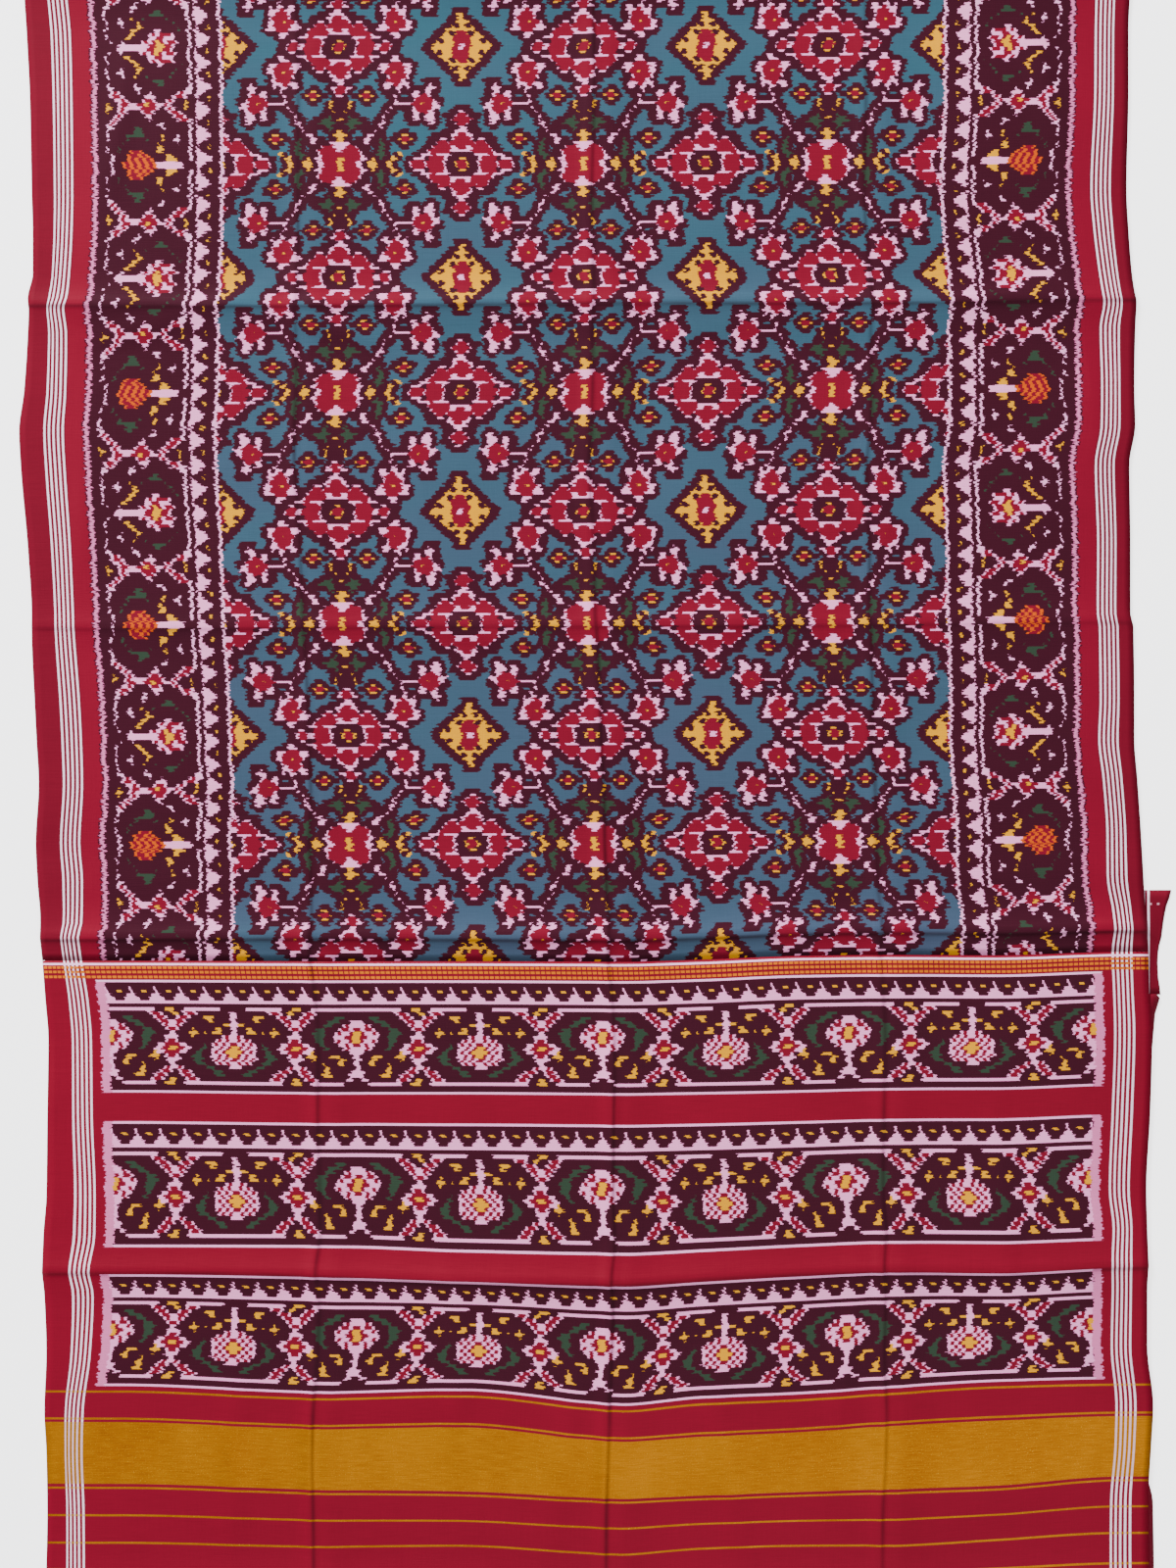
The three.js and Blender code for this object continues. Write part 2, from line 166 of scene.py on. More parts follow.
# How far each weft line sags below a level line: stations across, then a row per station down
# Most of the numbers are from a scratch script's measurements too
SAG_ACROSS = (80, 293, 425, 595, 675, 775, 875, 975, 1100)
SAG = (
    (30, (0, 0, 0, 0, 0, 0, 0, 0, 0)),
    (400, (0, -1, -1.5, -2, -3, -3.5, -4, -5, -6)),
    (1300, (0, -1, -1.5, -2, -3, -3.5, -4, -5, -6)),
    (1461.5, (0, 0.5, 0.5, 1, -1, -5, -6, -5.5, -9)),
    (1595, (0, 2, 2, 3, 2, 0, -2.5, -3, -7)),
    (1748.5, (0, 0.5, 5, 8, 4.5, -0.5, -4, -3.5, -7)),
    (1778, (0, 3, 7, 12, 7.5, 2, -2, -1, -6)),
    (1897, (0, 7.5, 4.5, 19.5, 12.5, 8.5, 1.5, -4.5, -7)),
    (1924.5, (0, 7, 5, 19.5, 14.5, 10, 3, -2, -6)),
    (1995, (0, 6, 7.5, 14.5, 11.5, 8, 5, 1.5, -7.5)),
    (2051, (0, 4, 3, 11.5, 6, 3, 2.5, -3, -10)),
    (2078, (0, 3, 2, 10, 5, 2, 2, -1, -6)),
    (2328, (0, 0, 0, 0, 0, 0, 0, 0, 0)),
)


@dataclass(frozen=True)
class AcrossCrease:
    """A storage crease that runs across the cloth, with the run of its two flanks."""

    down: float
    left: float
    middle: float
    right: float
    above: float
    below: float


@dataclass(frozen=True)
class DownCrease:
    """A storage crease that runs down the cloth."""

    across: float
    height: float
    before: float
    after: float


@dataclass(frozen=True)
class Swell:
    """A broad soft rise: its centre, half spans and height."""

    across: float
    down: float
    wide: float
    long: float
    height: float


@dataclass(frozen=True)
class FoldLine:
    """A sharp line pressed into the cloth: its place, height along its run, flanks and wander."""

    place: float
    stations: tuple[float, ...]
    heights: tuple[float, ...]
    above: float
    below: float
    wander: float = 1.0
    wave: float = 90.0


@dataclass(frozen=True)
class Pucker:
    """A small soft ridge or hollow: centre, half length, half width, turn in degrees and height."""

    across: float
    down: float
    long: float
    wide: float
    turn: float
    height: float


CREASES_ACROSS = (
    AcrossCrease(468, 2.4, 3.4, 2.4, 36, 40),
    AcrossCrease(794, 3.4, 4.2, 3.6, 34, 44),
    AcrossCrease(1118, 1.6, 2.4, 1.6, 32, 38),
    AcrossCrease(1434, 3.4, 4.4, 3.8, 34, 40),
    AcrossCrease(1775, 2.8, 3.8, 2.8, 36, 40),
    AcrossCrease(2098, 2.2, 3.0, 2.2, 36, 36),
)
CREASES_DOWN = (
    DownCrease(295, 2.0, 36, 36),
    DownCrease(596, 2.8, 40, 40),
    DownCrease(875, 2.0, 36, 36),
)
SWELLS = (
    Swell(150, 640, 110, 120, 1.6),
    Swell(980, 620, 120, 130, 1.4),
    Swell(440, 960, 130, 140, 1.2),
    Swell(740, 1260, 130, 120, 1.3),
    Swell(130, 1250, 100, 130, 1.5),
    Swell(990, 1590, 110, 120, 1.5),
    Swell(400, 1850, 110, 100, 1.6),
    Swell(700, 1900, 90, 110, 1.8),
    Swell(960, 1980, 100, 110, 1.3),
    Swell(480, 250, 160, 110, 1.4),
)
# Sharp lines across the cloth: stations run across
FOLD_LINES = (
    FoldLine(468, (0, 260, 560, 900, 1130), (0.6, 0.9, 1.2, 0.9, 0.6), 14, 6),
    FoldLine(790, (0, 200, 480, 760, 1130), (2.0, 1.6, 2.4, 2.1, 1.5), 14, 6),
    FoldLine(1118, (0, 300, 620, 1130), (0.7, 1.0, 0.9, 0.7), 14, 6),
    FoldLine(1434, (0, 250, 560, 840, 1130), (1.8, 2.0, 2.6, 2.0, 2.3), 16, 8),
    FoldLine(1775, (0, 280, 590, 900, 1130), (1.4, 1.7, 2.2, 1.5, 1.3), 16, 6, 1.6),
    FoldLine(2098, (0, 300, 620, 1130), (1.0, 1.5, 1.3, 1.0), 14, 6),
)

# Sharp lines down the cloth: stations run down
UPRIGHT_LINES = (
    FoldLine(277, (0, 700, 1450, 1800, 2300), (0.9, 1.3, 2.4, 2.6, 1.8), 14, 6, 1.5, 160),
    FoldLine(578, (0, 600, 1300, 1800, 2300), (1.2, 1.6, 2.7, 2.8, 2.2), 14, 6, 1.5, 190),
    FoldLine(857, (0, 700, 1400, 1850, 2300), (0.9, 1.2, 2.1, 2.2, 1.7), 14, 6, 1.5, 170),
)

PUCKER_HEIGHT = 1.7

# Small ridges and hollows, most of them by the crossings of the creases
PUCKERS = (
    Pucker(330, 820, 70, 9, 14, 0.9),
    Pucker(250, 770, 60, 8, -20, 0.8),
    Pucker(640, 830, 80, 9, -12, 1.0),
    Pucker(560, 760, 60, 8, 24, 0.8),
    Pucker(905, 835, 70, 9, 18, 0.8),
    Pucker(1010, 780, 60, 10, -8, 0.9),
    Pucker(120, 815, 60, 9, -14, 0.8),
    Pucker(310, 1470, 60, 8, 30, 0.9),
    Pucker(620, 1480, 80, 9, 70, 1.0),
    Pucker(580, 1405, 60, 8, -18, 0.8),
    Pucker(890, 1470, 70, 9, -26, 0.8),
    Pucker(420, 1850, 110, 12, 84, 1.0),
    Pucker(540, 1900, 120, 12, 96, 0.9),
    Pucker(700, 1960, 110, 13, 80, 1.0),
    Pucker(820, 1860, 100, 11, 98, 0.8),
    Pucker(200, 1960, 120, 12, 92, 0.8),
    Pucker(980, 1700, 110, 12, 86, 0.8),
    Pucker(1040, 560, 80, 12, 76, 0.9),
    Pucker(90, 620, 90, 12, 100, 0.9),
    Pucker(1085, 900, 70, 11, 82, 1.0),
    Pucker(60, 1010, 80, 10, 96, 0.9),
    Pucker(470, 1130, 90, 10, 12, 0.7),
    Pucker(760, 1110, 80, 10, -10, 0.7),
)
# Down the cloth, how far the hidden layers stand out past the right edge
POKES = (
    (1499, -2.2),
    (1502, 11),
    (1522, 4),
    (1547, 1),
    (1618, -2.2),
    (1985, -2.2),
    (2018, 5),
    (2078, 5.5),
    (2178, -2.2),
)

# Down the cloth, the picture column of the inner end's free edge
TAB_EDGE = (
    (1394, 1195),
    (1411, 1190),
    (1427, 1187),
    (1443, 1185),
    (1455, 1182),
    (1468, 1181),
    (1488, 1182),
    (1499, 1184),
)

# Down the cloth, where each row of flowers or hubs of the ikat falls, from one row above the fold
IKAT_ROWS = (-60, 58, 176, 293, 411, 528, 648, 763, 880, 1002, 1116, 1230, 1340, 1463, 1581)
HALF_REPEAT = 117.5


def smooth_curve(stations: Sequence[float], values: Sequence[float], at: np.ndarray) -> np.ndarray:
    """Return a smooth curve through rising stations, without overshoot.

    Args:
        stations: rising places where the value is known.
        values: the known values.
        at: places to work out.

    Returns:
        The values at those places, held level past both ends.
    """
    xs = np.asarray(stations, float)
    ys = np.asarray(values, float)
    steps = np.diff(xs)
    slopes = np.diff(ys) / steps
    tangents = np.zeros_like(ys)
    product = slopes[:-1] * slopes[1:]
    total = slopes[:-1] + slopes[1:]
    tangents[1:-1] = np.where(product > 0, 2 * product / np.where(total == 0, 1, total), 0)
    i = np.clip(np.searchsorted(xs, at, "right") - 1, 0, len(xs) - 2)
    t = np.clip((at - xs[i]) / steps[i], 0, 1)
    return (
        (2 * t**3 - 3 * t**2 + 1) * ys[i]
        + (t**3 - 2 * t**2 + t) * steps[i] * tangents[i]
        + (3 * t**2 - 2 * t**3) * ys[i + 1]
        + (t**3 - t**2) * steps[i] * tangents[i + 1]
    )


def ease(start: float, end: float, at: np.ndarray) -> np.ndarray:
    """Return 0 before start, 1 after end, and a smooth rise between."""
    t = np.clip((at - start) / (end - start), 0, 1)
    return t * t * (3 - 2 * t)


def tent(distance: np.ndarray, before: float, after: float) -> np.ndarray:
    """Return a crease flank: 1 on the line, easing to 0 where the flank ends."""
    run = np.where(distance < 0, -distance / before, distance / after)
    return np.clip(1 - run, 0, 1) ** FLANK_SHAPE


class ClothForm:
    """The laid cloth's form: as in the part's source, for whole grids, with a finer relief besides."""

    def __init__(self) -> None:
        columns = list(zip(*SECTIONS))
        self.table = dict(zip(SECTION_COLUMNS, columns))

    def column(self, name: str, down: np.ndarray) -> np.ndarray:
        """Return one column of the section table along the cloth."""
        return smooth_curve(self.table["down"], self.table[name], down)

    def sideways(self, across: np.ndarray, down: np.ndarray) -> np.ndarray:
        """Return X of each point in millimetres, for across and down of equal shape."""
        edge_l = self.column("left", down)
        edge_r = self.column("right", down)
        line_l = self.column("stripe_left", down)
        line_r = self.column("stripe_right", down)
        px = line_l + (line_r - line_l) * (across - STRIPE_LEFT) / (STRIPE_RIGHT - STRIPE_LEFT)
        px = np.where(across < STRIPE_LEFT, edge_l + (line_l - edge_l) * across / STRIPE_LEFT, px)
        beyond = line_r + (edge_r - line_r) * (across - STRIPE_RIGHT) / (CLOTH_WIDTH - STRIPE_RIGHT)
        return np.where(across > STRIPE_RIGHT, beyond, px) - PICTURE_CENTRE

    def sag(self, across: np.ndarray, down: np.ndarray) -> np.ndarray:
        """Return the sag of the weft for a grid of (down rows, across columns)."""
        rows = np.array([smooth_curve(SAG_ACROSS, by, across[0]) for _, by in SAG])
        stations = [down_at for down_at, _ in SAG]
        columns = [smooth_curve(stations, rows[:, n], down[:, n]) for n in range(across.shape[1])]
        return np.stack(columns, axis=1)

    def lengthways(self, across: np.ndarray, down: np.ndarray) -> np.ndarray:
        """Return Y of each point in millimetres."""
        return TOP_FOLD_Y - down - self.sag(across, down)

    def relief(self, across: np.ndarray, down: np.ndarray) -> np.ndarray:
        """Return the rise of creases and swells over the resting cloth."""
        side = np.minimum(across, CLOTH_WIDTH - across)
        height = np.zeros_like(across)
        for crease in CREASES_ACROSS:
            profile = (crease.left, crease.middle, crease.right)
            along = smooth_curve((0, CLOTH_WIDTH / 2, CLOTH_WIDTH), profile, across)
            height += along * tent(down - crease.down, crease.above, crease.below)
        for crease in CREASES_DOWN:
            height += crease.height * tent(across - crease.across, crease.before, crease.after)
        for swell in SWELLS:
            far = ((across - swell.across) / swell.wide) ** 2 + ((down - swell.down) / swell.long) ** 2
            height += swell.height * np.exp(-far)
        return height * (EDGE_RELIEF + (1 - EDGE_RELIEF) * ease(0, EDGE_CALM, side))

    def fine_relief(self, across: np.ndarray, down: np.ndarray) -> np.ndarray:
        """Return the sharp fold lines and small puckers that only the seen cloth has."""
        height = np.zeros_like(across)
        for line in FOLD_LINES:
            wander = line.wander * np.sin(across / line.wave + line.place)
            strength = smooth_curve(line.stations, line.heights, across)
            height += strength * tent(down - line.place - wander, line.above, line.below)
        for line in UPRIGHT_LINES:
            wander = line.wander * np.sin(down / line.wave + line.place)
            strength = smooth_curve(line.stations, line.heights, down)
            height += strength * tent(across - line.place - wander, line.above, line.below)
        for pucker in PUCKERS:
            turn = np.radians(pucker.turn)
            along = (across - pucker.across) * np.cos(turn) + (down - pucker.down) * np.sin(turn)
            aside = (down - pucker.down) * np.cos(turn) - (across - pucker.across) * np.sin(turn)
            far = (along / pucker.long) ** 2 + (aside / pucker.wide) ** 2
            height += PUCKER_HEIGHT * pucker.height * np.exp(-far)
        return height

    def underside(self, across: np.ndarray, down: np.ndarray) -> np.ndarray:
        """Return the height of the underside of the top layer's solid."""
        side = np.minimum(across, CLOTH_WIDTH - across)
        layers = TWO_LAYERS + (THREE_LAYERS - TWO_LAYERS) * ease(*THIRD_LAYER, down)
        nose = 2 * NOSE_RADIUS - WALL
        relief = self.relief(across, down)
        resting = SEAM + layers + LOFT * ease(0, LOFT_RUN, side) + relief
        puffed = resting + (nose - resting) * (1 - ease(NOSE_RADIUS, NOSE_RUN, down))
        lying = LYING_RELIEF * relief * (1 - ease(*LYING_END, down))
        return puffed + (lying - puffed) * ease(UNDER_END + 2, UNDER_END + DROOP, down)

    @staticmethod
    def poke(down: np.ndarray) -> np.ndarray:
        """Return how far the hidden layers stand out past the right edge."""
        return smooth_curve([row[0] for row in POKES], [row[1] for row in POKES], down)

    @staticmethod
    def tab_edge(down: np.ndarray) -> np.ndarray:
        """Return X of the inner end's free edge."""
        edge = smooth_curve([row[0] for row in TAB_EDGE], [row[1] for row in TAB_EDGE], down)
        return edge - PICTURE_CENTRE

    @staticmethod
    def ikat_down(down: np.ndarray) -> np.ndarray:
        """Return the place in the ikat's repeat, in millimetres, with flower rows at even half repeats."""
        return np.interp(down, IKAT_ROWS, (np.arange(len(IKAT_ROWS)) + 1) * HALF_REPEAT)


class Held(Enum):
    LAID = "laid"
    FOLDED = "folded"


@dataclass(frozen=True)
class ClothGrid:
    """Outer face of one cloth piece as a grid of rows, with both cloth coordinates of every point."""

    points: np.ndarray
    across: np.ndarray
    down: np.ndarray

    def normals(self) -> np.ndarray:
        """Return the outward unit normal of every grid point."""
        along_rows = np.gradient(self.points, axis=0)
        along_columns = np.gradient(self.points, axis=1)
        raw = np.cross(along_rows, along_columns)
        return raw / np.maximum(np.linalg.norm(raw, axis=2, keepdims=True), 1e-9)


@dataclass
class ClothPiece:
    """One cloth piece: its grid, its finish and what it takes the place of."""

    name: str
    node: str
    slot: str
    grid: ClothGrid
    flat: tuple[float, float]
    held: Held
    material: bpy.types.Material
    rests_on: Sequence[bpy.types.Object] = field(default_factory=list)

    def build(self) -> bpy.types.Object:
        """Return the finished object, parented to the root, with the part it replaces hidden."""
        obj = shell_object(self.name, self.grid)
        obj.data.materials.append(self.material)
        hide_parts(self.node)
        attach(obj, "root")
        LOG.info("%s has %d faces", self.name, len(obj.data.polygons))
        return obj


def grid_faces(rows: int, columns: int, first: int, flipped: bool) -> np.ndarray:
    """Return the quads of a grid whose points start at the given index."""
    index = first + np.arange(rows * columns).reshape(rows, columns)
    corners = (index[:-1, :-1], index[1:, :-1], index[1:, 1:], index[:-1, 1:])
    quads = np.stack(corners, axis=-1).reshape(-1, 4)
    return quads[:, ::-1] if flipped else quads


def rim_faces(rows: int, columns: int) -> np.ndarray:
    """Return the quads that join the outer and inner faces round their edge."""
    index = np.arange(rows * columns).reshape(rows, columns)
    loop = np.concatenate([index[0, :-1], index[:-1, -1], index[-1, :0:-1], index[:0:-1, 0]])
    after = np.roll(loop, -1)
    inner = rows * columns
    return np.stack([loop, after, after + inner, loop + inner], axis=-1)


def shell_object(name: str, grid: ClothGrid) -> bpy.types.Object:
    """Return a thin closed shell on a grid, with its cloth, ikat and bake coordinates.

    Args:
        name: name of the object.
        grid: the outer face of the cloth.

    Returns:
        The linked object, at the origin and unscaled.
    """
    rows, columns = grid.across.shape
    outer = grid.points
    inner = outer - grid.normals() * SILK
    places = np.concatenate([outer.reshape(-1, 3), inner.reshape(-1, 3)]) * MM
    quads = np.concatenate([
        grid_faces(rows, columns, 0, False),
        grid_faces(rows, columns, rows * columns, True),
        rim_faces(rows, columns),
    ])
    mesh = bpy.data.meshes.new(name)
    mesh.from_pydata(places.tolist(), [], quads.tolist())
    corners = np.empty(len(mesh.loops), dtype=np.int32)
    mesh.loops.foreach_get("vertex_index", corners)
    count = rows * columns
    cloth = np.stack([grid.across.ravel(), grid.down.ravel()], axis=-1) * MM
    ikat = np.stack([grid.across.ravel(), ClothForm.ikat_down(grid.down.ravel())], axis=-1) * MM
    add_layer(mesh, "cloth", cloth[corners % count])
    add_layer(mesh, "ikat", ikat[corners % count])
    add_layer(mesh, "OFBake", bake_places(rows, columns, corners, count))
    mesh.polygons.foreach_set("use_smooth", [True] * len(mesh.polygons))
    mesh.update()
    obj = bpy.data.objects.new(name, mesh)
    bpy.context.scene.collection.objects.link(obj)
    return obj


def add_layer(mesh: bpy.types.Mesh, name: str, places: np.ndarray) -> None:
    """Add one UV map from a place for every face corner."""
    layer = mesh.uv_layers.new(name=name)
    layer.data.foreach_set("uv", places.astype(np.float32).ravel())


def bake_places(rows: int, columns: int, corners: np.ndarray, count: int) -> np.ndarray:
    """Return the place of every face corner in the bake layout."""
    row = (corners % count) // columns / (rows - 1)
    column = (corners % count) % columns / (columns - 1)
    is_inner = corners >= count
    x = np.where(is_inner, BAKE_INNER_FROM + BAKE_INNER * column, BAKE_MARGIN + BAKE_OUTER * column)
    return np.stack([x, BAKE_MARGIN + BAKE_LONG * row], axis=-1)


def sharp_stations(lines: Sequence[FoldLine]) -> list[float]:
    """Return the stations that carry the sharp lines."""
    return [line.place + step for line in lines for step in LINE_STEPS]


class ClothCut:
    """Cuts the grids of every piece from the one cloth form."""

    def __init__(self, form: ClothForm) -> None:
        self.form = form

    @staticmethod
    def columns(start: float = 0.0, end: float = CLOTH_WIDTH) -> np.ndarray:
        """Return the stations across a piece."""
        count = max(3, round((end - start) / GRID_STEP) + 1)
        return np.linspace(start, end, count)

    @staticmethod
    def merged(plain: np.ndarray, extra: Sequence[float]) -> np.ndarray:
        """Return stations with extra ones in place of plain ones that lie too close."""
        wanted = [place for place in extra if plain[0] + 1 < place < plain[-1] - 1]
        inner = [
            place for place in plain[1:-1] if all(abs(place - other) > CLOSEST_STATIONS for other in wanted)
        ]
        return np.array(sorted([plain[0], plain[-1], *wanted, *inner]))

    def rows(self, start: float, end: float, extra: Sequence[float] = ()) -> np.ndarray:
        """Return the stations down a piece, with extra ones put in."""
        count = max(3, round((end - start) / GRID_STEP) + 1)
        return self.merged(np.linspace(start, end, count), extra)

    def top_columns(self) -> np.ndarray:
        """Return the stations across the seen cloth, closer by its sharp lines."""
        return self.merged(self.columns(), sharp_stations(UPRIGHT_LINES))

    def layer(self, across: np.ndarray, down: np.ndarray, height: np.ndarray) -> np.ndarray:
        """Return points of a flat layer at the given heights."""
        x = self.form.sideways(across, down)
        y = self.form.lengthways(across, down)
        return np.stack([x, y, height], axis=-1)

    def top_layer(self, downs: np.ndarray) -> ClothGrid:
        """Return the seen face of the top layer."""
        down, across = np.meshgrid(downs, self.top_columns(), indexing="ij")
        calm = ease(NOSE_RADIUS, CALM_AT_NOSE, down) * (1 - ease(UNDER_END - CALM_AT_END, UNDER_END, down))
        height = self.form.underside(across, down) + WALL + self.form.fine_relief(across, down) * calm
        return ClothGrid(self.layer(across, down, height), across, down)

    def nose(self, radius: float, degrees: Sequence[float], lip: Sequence[float], seen: bool) -> ClothGrid:
        """Return the rounded top fold and the lip that runs back under the cloth."""
        centre = TOP_FOLD_Y - NOSE_RADIUS
        angle = np.radians(list(degrees))
        ys = np.concatenate([centre - np.asarray(lip, float), centre + radius * np.cos(angle)])
        zs = np.concatenate([np.full(len(lip), NOSE_RADIUS - radius), NOSE_RADIUS + radius * np.sin(angle)])
        travel = np.concatenate([[0.0], np.cumsum(np.hypot(np.diff(ys), np.diff(zs)))])
        columns = self.top_columns() if seen else self.columns()
        reach, across = np.meshgrid(NOSE_RADIUS + travel - travel[-1], columns, indexing="ij")
        y = np.broadcast_to(ys[:, None], across.shape)
        z = np.broadcast_to(zs[:, None], across.shape)
        x = self.form.sideways(across, np.zeros_like(across))
        return ClothGrid(np.stack([x, y, z], axis=-1), across, reach)

    @staticmethod
    def joined(*grids: ClothGrid) -> ClothGrid:
        """Return grids of equal width one after another."""
        return ClothGrid(
            np.concatenate([grid.points for grid in grids]),
            np.concatenate([grid.across for grid in grids]),
            np.concatenate([grid.down for grid in grids]),
        )

    def body(self) -> ClothGrid:
        """Return the body: lip, top fold and the ikat field down to the seam line."""
        nose = self.nose(NOSE_RADIUS, NOSE_ANGLES, (LIP, LIP / 2), True)
        extra = [*SEEN_BEHIND_NOSE, *sharp_stations(FOLD_LINES)]
        downs = self.rows(NOSE_RADIUS + NOSE_GAP, BODY_END - SEAM / 2, extra)
        return self.joined(nose, self.top_layer(downs))

    def pallu(self) -> ClothGrid:
        """Return the end piece, which droops to the ground past the folded layers."""
        extra = [*DROOP_STATIONS, *sharp_stations(FOLD_LINES)]
        return self.top_layer(self.rows(BODY_END + SEAM / 2, PALLU_END, extra))

    def hidden(self, downs: np.ndarray, on_floor: bool) -> ClothGrid:
        """Return a hidden layer, either under the top layer or flat on the ground."""
        down, across = np.meshgrid(downs, self.columns(), indexing="ij")
        tucked = (across >= TAB_INSIDE) & (down >= TAB_TOP - 1) & (down <= TAB_FOOT + 1)
        top = self.form.underside(across, down) - SEAM - np.where(tucked, WALL + SEAM, 0)
        side = np.minimum(across, CLOTH_WIDTH - across)
        height = np.zeros_like(top) if on_floor else top * (0.5 + 0.5 * ease(0, THIN_EDGE, side))
        points = self.layer(across, down, height)
        push = self.form.poke(down) * ease(PUSH_FROM, CLOTH_WIDTH, across)
        tuck = HIDDEN_TUCK * (1 - ease(0, TUCK_RUN, across))
        points[..., 0] += push + tuck
        return ClothGrid(points, across, down)

    def folds_upper(self) -> ClothGrid:
        """Return the hidden layer that runs back down from the top fold."""
        inside = NOSE_RADIUS - WALL - SEAM
        nose = self.nose(inside, HIDDEN_NOSE_ANGLES, (), False)
        downs = self.rows(NOSE_RADIUS + NOSE_GAP, TAB_TOP - 3, BEHIND_NOSE)
        flat = self.hidden(downs, False)
        grid = self.joined(nose, flat)
        grid.points[: len(nose.points), :, 0] += HIDDEN_TUCK * (1 - 2 * nose.across / CLOTH_WIDTH)
        return grid

    def folds_lower(self) -> ClothGrid:
        """Return the lower hidden layers: flat on the ground, round their end and back up."""
        downs = self.rows(TAB_TOP - 2, UNDER_END - 4, (TAB_FOOT + 1, TAB_FOOT + 2))
        ground = self.hidden(downs, True)
        back = self.hidden(downs[::-1], False)
        end = back.points[:1]
        radius = end[..., 2] / 2
        turns = []
        for degrees in END_ANGLES:
            angle = np.radians(degrees)
            reach = END_REACH * np.cos(angle)
            turn = end.copy()
            turn[..., 1] -= reach
            turn[..., 2] = radius * (1 + np.sin(angle))
            turns.append(ClothGrid(turn, back.across[:1], back.down[:1] + reach))
        return self.joined(ground, *turns, back)

    def inner_end(self) -> ClothGrid:
        """Return the tucked inner end, out past the right edge of the top layer."""
        downs = self.rows(TAB_TOP, TAB_FOOT + TAB_LAP)
        down, across = np.meshgrid(downs, self.columns(TAB_INSIDE, CLOTH_WIDTH), indexing="ij")
        height = self.form.underside(across, down) - WALL - SEAM
        points = self.layer(across, down, height)
        edge = points[:, -1:]
        part = np.linspace(0, 1, TAB_COLUMNS)[None, 1:]
        x = edge[..., 0] + (self.form.tab_edge(down[:, :1]) - edge[..., 0]) * part
        y = np.broadcast_to(edge[..., 1], x.shape)
        z = edge[..., 2] * (1 - ease(0, 1, part))
        points = np.concatenate([points, np.stack([x, y, z], axis=-1)], axis=1)
        points[..., 2] += WALL
        wide = points[..., 0] + TAB_SHIFT
        return ClothGrid(points, wide, np.broadcast_to(down[:, :1], wide.shape))


class Dye(Enum):
    """Dyed colours, each with its letter in the charts; an earlier one bleeds over a later one."""

    MAROON = "m"
    RED = "r"
    ORANGE = "o"
    YELLOW = "y"
    PINK = "p"
    WHITE = "w"
    GREEN = "g"
    GROUND = "."


# Quarter of the field repeat: hub at top left, rosette at top right, large rosette at bottom left
FIELD_CHART = (
    "yrrrppmyyymmyym..mprrrprrrrpmmyr",
    "yrrrrppmymgmmyym.mmpppmrrrrpmmmy",
    "rrrrrpmmmgggm.my...mmppprppppmmm",
    "prrrrpmm.mggm........mmprrrrrppp",
    "pprrpmmm.mggm...mm....mmprrrrppr",
    "pppmmmppmmggm..myym....mmprrprrr",
    "ymm.mmppmmgm.mmyrrym...mmmppmprr",
    "yym...mppmmm..mmyymm....mmmmmppr",
    "ymgm..mmmpmm....mm.........mmmpp",
    "mmggmmmmmmpm...........mm...mmmp",
    "mgggggmm.mppm.....mmm.mppm..mmpr",
    "ymgggmm..mmpm....mmppmpppm..mprr",
    "mmgmm.....mpmm...mmppmpppm.mmmpr",
    "mymm.......mpmm..mmpprrppm...mmp",
    "mmym.......mmpmmmmmprrrrpp....mm",
    "mmym..mm....mmppppprryrrppm.....",
    "mm...myym....mpmmmmprrrrpmm.....",
    "pm.mmyrrym..mmpm..mpprrpmm......",
    "rpm..myym..mmmmpmmmppmppmm......",
    "rppm..mm..mppmppmpmmmmpppm......",
    "pmm.......mppprpppm...mpmm....mm",
    "ppmmm.....mmprrrppm...mmmm....my",
    "rppmmmm...mmprrrrpm..........mmy",
    "rrpmppmm..mprryrrppm........mmyy",
    "rrrprrpmmmppprrrrppm.......mmymy",
    "rpprrrrpmmppprrrpppm......mmyyyy",
    "ppprrrrrpmmmmpppmmm......mmyymyr",
    "mmmpppprpppmmmppm.......mmyyyyrr",
    "ymmmprrrrmmppmmm.......mmymyyyrr",
    "rymmprrrrpprrpmm......mmyyyyyyrp",
)

